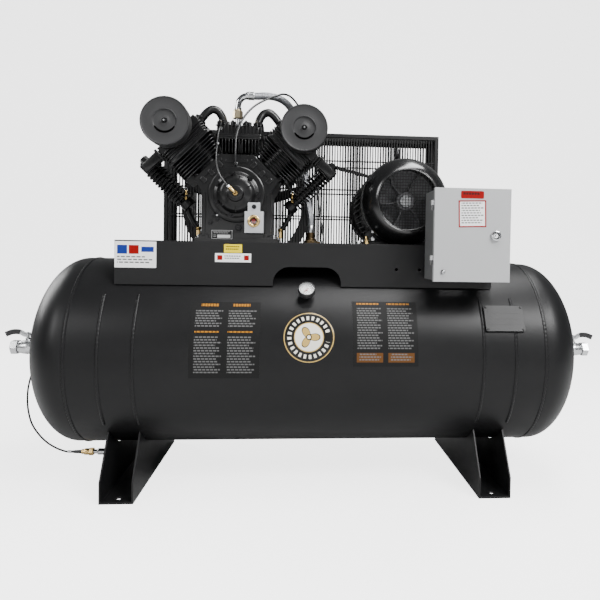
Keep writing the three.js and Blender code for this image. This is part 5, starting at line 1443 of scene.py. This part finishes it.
def motor_frame():
    """Motor's finned barrel with feet, struts, lifting eye and terminal box."""
    at = Frame(MOTOR, Z, X, Y)
    body = Surface()
    body.lathe(at, [[84.2, -101], [84.2, 150], [132, 150], [132, 142], [122, 138], [122, -106], [133, -108],
                    [133, -116], [20, -116], [20, -101], [84.2, -101]], 128)
    for angle in np.arange(settings("drive").frame_fins) / settings("drive").frame_fins * TAU:
        out = X * math.cos(angle) + Z * math.sin(angle)
        if out[2] < -0.86 or (out[0] > 0.93 and abs(out[2]) < 0.3):
            continue
        fin = Frame(MOTOR, np.cross(Y, out), out, Y)
        body.brick(fin, (-1.5, 118, -112), (1.5, 137, 147), 1, 1)
    level = Frame(MOTOR, X, Y, Z)
    sole = (DECK_TOP + 0.3 * MM - MOTOR[2]) / MM
    for side in (-1, 1):
        for y in (-92, 60):
            body.brick(level, (side * 76 - 34, y, sole), (side * 76 + 34, y + 56, sole + 14), 9, 2.5)
        body.brick(level, (side * 74 - 22, -80, sole + 8), (side * 74 + 22, 104, -60), 4, 2)
    body.brick(level, (112, -62, -46), (168, 48, 40), 7, 2)
    lid = Frame(MOTOR, Y, Z, X)
    body.brick(lid, (-61, -45, 167), (47, 39, 177.6), 7, 2)
    body.bolts(lid, (-54, 40), (-39, 33), 176, 7, 2, 1, False)
    body.lathe(axes(point(level, 142 * MM, -7 * MM, -45 * MM), -Z, Y),
               [[0, 0], [13, 0], [13, 10], [10, 12], [9, 22], [0, 22]], 6, 1)
    post = Frame(MOTOR + Y * 10 * MM, X, Y, Z)
    body.lathe(post, [[0, 117], [19, 117], [19, 139], [16, 143], [12, 144], [11, 160], [0, 160]], 40, 0)
    ring = circle(48, 21 * MM)
    body.swept(point(axes(point(post, 0, 0, 179 * MM), X, Y), ring[:, 0], ring[:, 1], 0.0),
               circle(20, 6.4 * MM), 1)
    make("motor_body", body, ["motor", "black bolt"], stands_for="motor_frame",
         sharp=30)
    shield = Surface().lathe(at, [[19.8, 142.3], [83, 142.3], [83, 150.3], [134, 150.3], [134, 158],
                                  [128, 162], [112, 166], [60, 172], [54, 175], [46, 184.3], [19.8, 184.3],
                                  [19.8, 142.3]], 96)
    shield.bolt_circle(at, 122, QUARTERS, 161, 13, 7, 1)
    make("motor_shield", shield, ["motor", "black bolt"],
         stands_for="motor_end_shield", sharp=30)


def fan_cover():
    """Sheet bell with a ring of crossed wires in its mouth."""
    at = Frame(MOTOR, Z, X, Y)
    outside = [[139, -116.4], [139, -160], [138.4, -165], [135.6, -173], [131, -182], [125, -192],
               [118, -202.6], [112, -210], [106, -216.4], [101, -220.6], [98, -222], [95, -221],
               [94, -218.6]]
    inside = [[r - 2.4, y + 1.2] for r, y in outside[1:-3][::-1]]
    cover = Surface().lathe(at, outside + inside + [[136.6, -116.4], [139, -116.4]], 160)
    cover.lathe(at, [[139, -117], [140.4, -117], [140.4, -121], [139, -122.4]], 160)
    cover.swept(point(at, 95 * MM * np.cos(np.linspace(0, TAU, 97)),
                      95 * MM * np.sin(np.linspace(0, TAU, 97)), -220.4 * MM), circle(12, 2.4 * MM))
    for offset in np.arange(-90, 91, 9.0):
        reach = math.sqrt(95.5 ** 2 - offset ** 2)
        run = np.linspace(-reach, reach, 3)
        cover.swept(point(at, offset * MM, run * MM, -218.4 * MM), circle(6, 1.0 * MM), 2)
        cover.swept(point(at, run * MM, offset * MM, -220.0 * MM), circle(6, 1.0 * MM), 2)
    for angle in QUARTERS:
        out = X * math.cos(angle) + Z * math.sin(angle)
        cover.bolt(axes(MOTOR + out * 138.6 * MM - Y * 133 * MM, out, Y), 8, 3, 1)
    make("motor_cover", cover, ["cover", "zinc", "wire"], stands_for="motor_fan_cover",
         sharp=35)


def motor_rotor():
    at = Frame(MOTOR, Z, X, Y)
    rotor = Surface()
    rotor.lathe(at, [[0, -178], [18, -178], [19, -177], [19, 353], [18, 354], [0, 354]], 48)
    rotor.lathe(at, [[0, -78], [80, -78], [82.3, -76], [82.3, 120], [80, 122], [0, 122]], 96)
    make("motor_rotor_body", rotor, "steel", "motor_shaft", "motor_rotor", sharp=30)
    fan = Surface()
    fan.lathe(at, [[19.4, -172], [27, -172], [30, -169], [30, -126], [19.4, -126], [19.4, -172]], 48)
    fan.lathe(at, [[19.4, -132], [98, -133], [104, -136], [104, -131], [98, -128], [19.4, -128]], 96)
    for angle in np.radians(np.arange(6) * 60):
        out, side = X * math.cos(angle) + Z * math.sin(angle), X * -math.sin(angle) + Z * math.cos(angle)
        r = np.linspace(24, 103, 14)[:, None]
        sag = 7 * np.sin((r - 24) / 79 * math.pi)
        front = r * out + sag * side
        rows = [front + Y * -131, front + Y * -167, front + Y * -167 + side * 3,
                front + Y * -131 + side * 3, front + Y * -131]
        fan.patch(MOTOR + np.stack(rows, 1) * MM, 0, True)
    make("motor_fan_body", fan, "fan", "motor_shaft", "motor_fan", sharp=35)


# ------------------------------------------------------------------ guard

def guard():
    softened("guard_frame", "sheet", 1 * MM)
    for node, holes in (("guard_front_grille", ((CRANK, 38 * MM), (MOTOR, 34 * MM))),
                        ("guard_rear_grille", ())):
        low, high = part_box(node)
        y, s = (low.y + high.y) / 2, settings("drive")
        panel, wire = Surface(), circle(6, s.wire / 2) * [0.5, 1]
        border, gap = 13 * MM, 0.6 * MM
        flat = Frame(np.array([0, y, 0]), X, Z, -Y)
        for x0, z0, x1, z1 in ((low.x, low.z, low.x + border, high.z),
                               (high.x - border, low.z, high.x, high.z),
                               (low.x + border, low.z, high.x - border, low.z + border),
                               (low.x + border, high.z - border, high.x - border, high.z)):
            panel.block(flat, (x0, z0, -1.4 * MM), (x1, z1, 1.4 * MM), 0.8 * MM, 0.5 * MM)
        start, end = low.z + border - gap, high.z - border + gap
        count = int((high.x - low.x - 2 * border) / s.wire_pitch)
        for x in np.linspace(low.x + border, high.x - border, count + 1)[1:-1]:
            spans, base = [], start
            for centre, radius in holes:
                if abs(x - centre[0]) < radius:
                    half = math.sqrt(radius ** 2 - (x - centre[0]) ** 2)
                    spans.append((base, centre[2] - half))
                    base = centre[2] + half
            for z0, z1 in spans + [(base, end)]:
                panel.swept(np.array([[x, y - 0.8 * MM, z0], [x, y - 0.8 * MM, z1]]), wire)
        for level in GUARD_LEVELS:
            panel.swept(np.array([[low.x + border - gap, y + 1.4 * MM, level],
                                  [high.x - border + gap, y + 1.4 * MM, level]]),
                        circle(8, s.wire / 2) * [1.0, 0.5])
        for centre, radius in holes:
            hoop = axes((centre[0], y, centre[2]), Y, Z)
            panel.turned(hoop, [[radius - 3 * MM, -1.5 * MM], [radius + 3 * MM, -1.5 * MM],
                                [radius + 3 * MM, 1.5 * MM], [radius - 3 * MM, 1.5 * MM],
                                [radius - 3 * MM, -1.5 * MM]], 64)
        make(f"{node}_wires", panel, "wire", stands_for=node, sharp=30)


# ------------------------------------------------------------------ cabinet

def sticker(name, at, half_u, half_v, finish, body="machine", corner=1.5 * MM):
    """A thin sheet in a local frame, mapped from 0 to 1 across and up, its back sunk a little."""
    outline = rectangle(-half_u, -half_v, half_u, half_v, corner, 6)
    rim = np.vstack([outline, outline[:1]])
    rows = np.array([rim * 0, rim * 0.5, rim, rim, rim * 0])
    lift = np.array([0.35, 0.35, 0.35, -0.2, -0.2])[:, None] * MM
    uv = rows / [2 * half_u, 2 * half_v] + 0.5
    return make(name, Surface().patch(point(at, rows[..., 0], rows[..., 1], lift), 0, False, uv), finish,
                body)


def cabinet():
    # The body gets the darkened grey as painted shade; the door keeps the lit grey.
    softened("cabinet_body", "cabinet side", 1.2 * MM)
    softened("cabinet_door", "cabinet", 1.6 * MM, "door")
    softened("contactor", "plastic", 1.2 * MM)
    door_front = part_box("cabinet_door")[0].y
    lock = Surface()
    low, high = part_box("door_latch")
    at = Frame(np.array([(low.x + high.x) / 2, door_front, (low.z + high.z) / 2]), X, Z, -Y)
    lock.lathe(at, [[0, 0.4], [15, 0.4], [15, 5.6], [13.6, 8], [11.6, 8.8], [10.2, 8.8], [9.4, 7.6],
                    [9.4, 3.4], [0, 3.4]], 96)
    lock.lathe(at, [[9.3, 7.8], [9.3, 6.4], [7.6, 5.6], [6.4, 3.4], [9.3, 3.4]], 64, 1)
    corners = circle(3, 4.6 * MM, math.pi / 2)[:-1]
    lock.slab(at, corners, 3 * MM, 8.2 * MM, 0.5 * MM)
    back = (high.y - door_front) / MM
    lock.disc(at, 7, -back + 6, 0, 32)
    lock.brick(at, (-7, -7, -back + 0.5), (7, 26, -back + 4), 3, 0.5)
    make("door_lock", lock, ["chrome", "rubber"], "latch", "door_latch", sharp=28)
    low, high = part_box("reset_button")
    at = Frame(np.array([(low.x + high.x) / 2, low.y, (low.z + high.z) / 2]), X, Z, -Y)
    depth = (high.y - low.y) / MM
    button = Surface()
    button.lathe(at, [[0, -0.6], [3.2, -0.4], [4.8, -0.9], [5.9, -2], [5.9, 0.3 - depth], [0, 0.3 - depth]],
                 48)
    button.lathe(at, [[4.9, -0.8], [5.95, -1.8], [5.95, -4], [4.9, -4]], 48, 1)
    make("button_cap", button, ["chrome", "rubber"], "reset", "reset_button", sharp=28)


def cabinet_labels():
    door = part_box("cabinet_door")[0].y
    sticker("door_red_label", Frame(np.array([DOOR_LABEL[0], door, DOOR_LABEL[1]]), X, Z, -Y), 34 * MM,
            11 * MM, "red label", "door", 4 * MM)
    tilt = NOTICE_TILT
    at = Frame(np.array([DOOR_NOTICE[0], door, DOOR_NOTICE[1]]), X * math.cos(tilt) + Z * math.sin(tilt),
               Z * math.cos(tilt) - X * math.sin(tilt), -Y)
    sticker("door_notice", at, 41 * MM, 39 * MM, "notice", "door")
    for name, (x0, x1, z0, z1) in DECK_LABELS.items():
        at = Frame(np.array([(x0 + x1) / 2, DECK_FRONT, (z0 + z1) / 2]), X, Z, -Y)
        sticker(name, at, (x1 - x0) / 2, (z1 - z0) / 2, name.replace("_", " "))


def tank_labels():
    for side, (x0, x1, low, high) in TANK_LABELS.items():
        z0, z1 = (TANK_Z + TANK_RADIUS * math.sin(math.radians(angle)) for angle in (low, high))
        tank_label(f"tank_label_{side}", x0, x1, z0, z1, f"{side} label")


# ------------------------------------------------------------------ stage

SKY_STRENGTH, SKY_LIGHT, SKY_SEEN = 0.13, (0.95, 0.97, 1.0, 1), (24, 24, 24, 1)
BACKDROP_RADIUS, BACKDROP_START = 3, 4

# Each lamp: its name, its place, what it points at, its width and height in metres, its watts.
LAMPS = (("key", (2.6, -3.0, 3.6), (0, 0, 0.8), 2.2, 1.4, 320),
         ("fill", (-3.4, -3.4, 3.0), (0, 0, 0.8), 1.4, 1.8, 110),
         ("top", (0.9, -0.4, 3.8), (0, 0, 0.9), 3.6, 1.0, 190),
         ("rim", (-3.6, 1.6, 2.2), (0, 0, 0.9), 1.4, 2.2, 110),
         ("low", (0.0, -4.6, 0.9), (0, 0, 0.7), 5.0, 0.5, 26))

VIEW_PLACE = (-0.048, -1.9961, 0.738)
VIEW_YAW, VIEW_PITCH, VIEW_ROLL = 0.0734, -0.0268, 0.0156
LENS, SENSOR = 33.803, 36
SHIFT_ACROSS, SHIFT_UP = -0.0641, -0.0455


def stage():
    """A pale floor that sweeps up into a backdrop, five soft lamps and a pale sky."""
    turn = np.linspace(0.1, math.pi / 2, 12)
    along = np.concatenate([np.linspace(-8, BACKDROP_START, 13),
                            BACKDROP_START + BACKDROP_RADIUS * np.sin(turn), [7.0, 7.0]])
    rise = np.concatenate([np.zeros(13), BACKDROP_RADIUS - BACKDROP_RADIUS * np.cos(turn), [5.0, 9.0]])
    across = np.linspace(-14, 14, 15)
    grid = np.stack(np.broadcast_arrays(across[None, :], along[:, None], rise[:, None]), -1)
    mesh = bpy.data.meshes.new("studio_floor")
    surface = Surface().patch(grid)
    mesh.from_pydata(np.vstack(surface.points), [], surface.faces)
    mesh.shade_smooth()
    floor = bpy.data.objects.new("studio_floor", mesh)
    mesh.materials.append(material("floor"))
    bpy.context.scene.collection.objects.link(floor)
    world = bpy.data.worlds.new("studio")
    world.use_nodes = True
    sky = world.node_tree.nodes["Background"]
    sky.inputs["Strength"].default_value = SKY_STRENGTH
    seen = world.node_tree.nodes.new("ShaderNodeLightPath").outputs["Is Camera Ray"]
    colour = world.node_tree.nodes.new("ShaderNodeMix")
    colour.data_type = "RGBA"
    ends = {socket.identifier: socket for socket in colour.inputs}
    ends["A_Color"].default_value, ends["B_Color"].default_value = SKY_LIGHT, SKY_SEEN
    world.node_tree.links.new(seen, ends["Factor_Float"])
    shown = {socket.identifier: socket for socket in colour.outputs}["Result_Color"]
    world.node_tree.links.new(shown, sky.inputs["Color"])
    bpy.context.scene.world = world
    for name, spot, target, wide, high, power in LAMPS:
        data = bpy.data.lights.new(name, "AREA")
        data.shape, data.size, data.size_y, data.energy = "RECTANGLE", wide, high, power
        lamp = bpy.data.objects.new(name, data)
        lamp.location = spot
        lamp.rotation_euler = (Vector(spot) - Vector(target)).to_track_quat("Z", "Y").to_euler()
        bpy.context.scene.collection.objects.link(lamp)


def camera():
    """The camera: it looks along f; its own up is turned by a small roll about f."""
    yaw, pitch, roll = VIEW_YAW, VIEW_PITCH, VIEW_ROLL
    f = Vector((math.sin(yaw) * math.cos(pitch), math.cos(yaw) * math.cos(pitch), math.sin(pitch)))
    level = Vector((math.cos(yaw), -math.sin(yaw), 0))
    upright = level.cross(f)
    right = level * math.cos(roll) + upright * math.sin(roll)
    up = upright * math.cos(roll) - level * math.sin(roll)
    data = bpy.data.cameras.new("camera")
    data.lens, data.sensor_width = LENS, SENSOR
    data.shift_x, data.shift_y = SHIFT_ACROSS, SHIFT_UP
    data.clip_start, data.clip_end = 0.05, 60
    viewer = bpy.data.objects.new("camera", data)
    viewer.matrix_world = Matrix((right, up, -f)).transposed().to_4x4()
    viewer.location = VIEW_PLACE
    bpy.context.scene.collection.objects.link(viewer)
    bpy.context.scene.camera = viewer


# ------------------------------------------------------------------ operators

class AddTank(bpy.types.Operator):
    """Adds the tank's shell, its dished heads, its badge, labels and data plate"""
    bl_idname = "compressor.add_tank"
    bl_label = "Tank"

    def execute(self, context):
        tank_shell()
        for side, name in SIDES:
            tank_head(side, name)
        tank_badge()
        tank_labels()
        data_plate()
        return {"FINISHED"}


class AddLegs(bpy.types.Operator):
    """Adds the two pressed legs with their welds"""
    bl_idname = "compressor.add_legs"
    bl_label = "Legs"

    def execute(self, context):
        legs()
        return {"FINISHED"}


class AddDeck(bpy.types.Operator):
    """Adds the deck plate and its bolts"""
    bl_idname = "compressor.add_deck"
    bl_label = "Deck"

    def execute(self, context):
        deck()
        return {"FINISHED"}


class AddGauge(bpy.types.Operator):
    """Adds the pressure gauge with its dial, glass and hand"""
    bl_idname = "compressor.add_gauge"
    bl_label = "Gauge"

    def execute(self, context):
        gauge()
        return {"FINISHED"}


class AddOutlets(bpy.types.Operator):
    """Adds the ball valve on each end of the tank"""
    bl_idname = "compressor.add_outlets"
    bl_label = "Outlets"

    def execute(self, context):
        for side, name in SIDES:
            outlet(side, name)
        return {"FINISHED"}


class AddDrain(bpy.types.Operator):
    """Adds the drain line under the tank"""
    bl_idname = "compressor.add_drain"
    bl_label = "Drain line"

    def execute(self, context):
        drain()
        return {"FINISHED"}


class AddTankFittings(bpy.types.Operator):
    """Adds the pressure switch and the check valve behind the pump"""
    bl_idname = "compressor.add_tank_fittings"
    bl_label = "Switch and check valve"

    def execute(self, context):
        tank_back_fittings()
        return {"FINISHED"}


class AddCrankcase(bpy.types.Operator):
    """Adds the crankcase, its covers and bolts, its plate and the oil sight"""
    bl_idname = "compressor.add_crankcase"
    bl_label = "Crankcase"

    def execute(self, context):
        crankcase()
        front_cover()
        rear_housing()
        oil_sight()
        return {"FINISHED"}


class AddCylinders(bpy.types.Operator):
    """Adds the three finned cylinders and their heads"""
    bl_idname = "compressor.add_cylinders"
    bl_label = "Cylinders and heads"

    def execute(self, context):
        for side, name in SIDES:
            low_cylinder(side, name)
            low_head(side, name)
        high_cylinder()
        high_head()
        return {"FINISHED"}


class AddIntercoolers(bpy.types.Operator):
    """Adds the intercoolers with their relief valves and drain cocks"""
    bl_idname = "compressor.add_intercoolers"
    bl_label = "Intercoolers"

    def execute(self, context):
        for side, name in SIDES:
            intercooler(side, name)
        return {"FINISHED"}


class AddFilters(bpy.types.Operator):
    """Adds the air filter on each low-pressure head"""
    bl_idname = "compressor.add_filters"
    bl_label = "Air filters"

    def execute(self, context):
        for side, name in SIDES:
            air_filter(side, name)
        return {"FINISHED"}


class AddPipes(bpy.types.Operator):
    """Adds the transfer pipes, the discharge fittings, the braided hose and the thin tubes"""
    bl_idname = "compressor.add_pipes"
    bl_label = "Pipes and hoses"

    def execute(self, context):
        for side, name in SIDES:
            crossover(side, name)
        discharge()
        pump_tubes()
        return {"FINISHED"}


class AddDrive(bpy.types.Operator):
    """Adds the flywheel, the motor pulley, the belts and the running gear"""
    bl_idname = "compressor.add_drive"
    bl_label = "Belt drive"

    def execute(self, context):
        flywheel()
        motor_pulley()
        for centre_y, name in zip(GROOVES, ("drive_belt_1", "drive_belt_2")):
            belt(centre_y, name)
        running_gear()
        return {"FINISHED"}


class AddMotor(bpy.types.Operator):
    """Adds the motor with its shield, fan cover, fan and rotor"""
    bl_idname = "compressor.add_motor"
    bl_label = "Motor"

    def execute(self, context):
        motor_frame()
        fan_cover()
        motor_rotor()
        return {"FINISHED"}


class AddGuard(bpy.types.Operator):
    """Adds the belt guard's band and its wire panels"""
    bl_idname = "compressor.add_guard"
    bl_label = "Belt guard"

    def execute(self, context):
        guard()
        return {"FINISHED"}


class AddCabinet(bpy.types.Operator):
    """Adds the control cabinet with its door, lock, button and labels"""
    bl_idname = "compressor.add_cabinet"
    bl_label = "Control cabinet"

    def execute(self, context):
        cabinet()
        cabinet_labels()
        return {"FINISHED"}


class AddStage(bpy.types.Operator):
    """Adds the floor, the lamps and the camera"""
    bl_idname = "compressor.add_stage"
    bl_label = "Stage"

    def execute(self, context):
        stage()
        camera()
        return {"FINISHED"}


OPERATORS = (AddTank, AddLegs, AddDeck, AddGauge, AddOutlets, AddDrain, AddTankFittings, AddCrankcase,
             AddCylinders, AddIntercoolers, AddFilters, AddPipes, AddDrive, AddMotor, AddGuard, AddCabinet,
             AddStage)
SETTINGS = {"tank": TankSettings, "pump": PumpSettings, "drive": DriveSettings, "cabinet": CabinetSettings}


class CompressorPanel(bpy.types.Panel):
    """Sizes and colours of the compressor, and a button for each group of pieces"""
    bl_idname = "COMPRESSOR_PT_build"
    bl_label = "Air compressor"
    bl_space_type = "VIEW_3D"
    bl_region_type = "UI"
    bl_category = "Compressor"

    def draw(self, context):
        for name in SETTINGS:
            box = self.layout.box()
            group = settings(name)
            for key in group.__annotations__:
                box.prop(group, key)
        for operator in OPERATORS:
            self.layout.operator(operator.bl_idname)


def register():
    for group in SETTINGS.values():
        bpy.utils.register_class(group)
    for name, group in SETTINGS.items():
        setattr(bpy.types.Scene, f"compressor_{name}", bpy.props.PointerProperty(type=group))
    for operator in (*OPERATORS, CompressorPanel):
        bpy.utils.register_class(operator)


def unregister():
    for operator in (CompressorPanel, *OPERATORS[::-1]):
        bpy.utils.unregister_class(operator)
    for name, group in SETTINGS.items():
        delattr(bpy.types.Scene, f"compressor_{name}")
        bpy.utils.unregister_class(group)


def main():
    register()
    for operator in OPERATORS:
        group, name = operator.bl_idname.split(".")
        getattr(getattr(bpy.ops, group), name)()


if __name__ == "__main__":
    main()
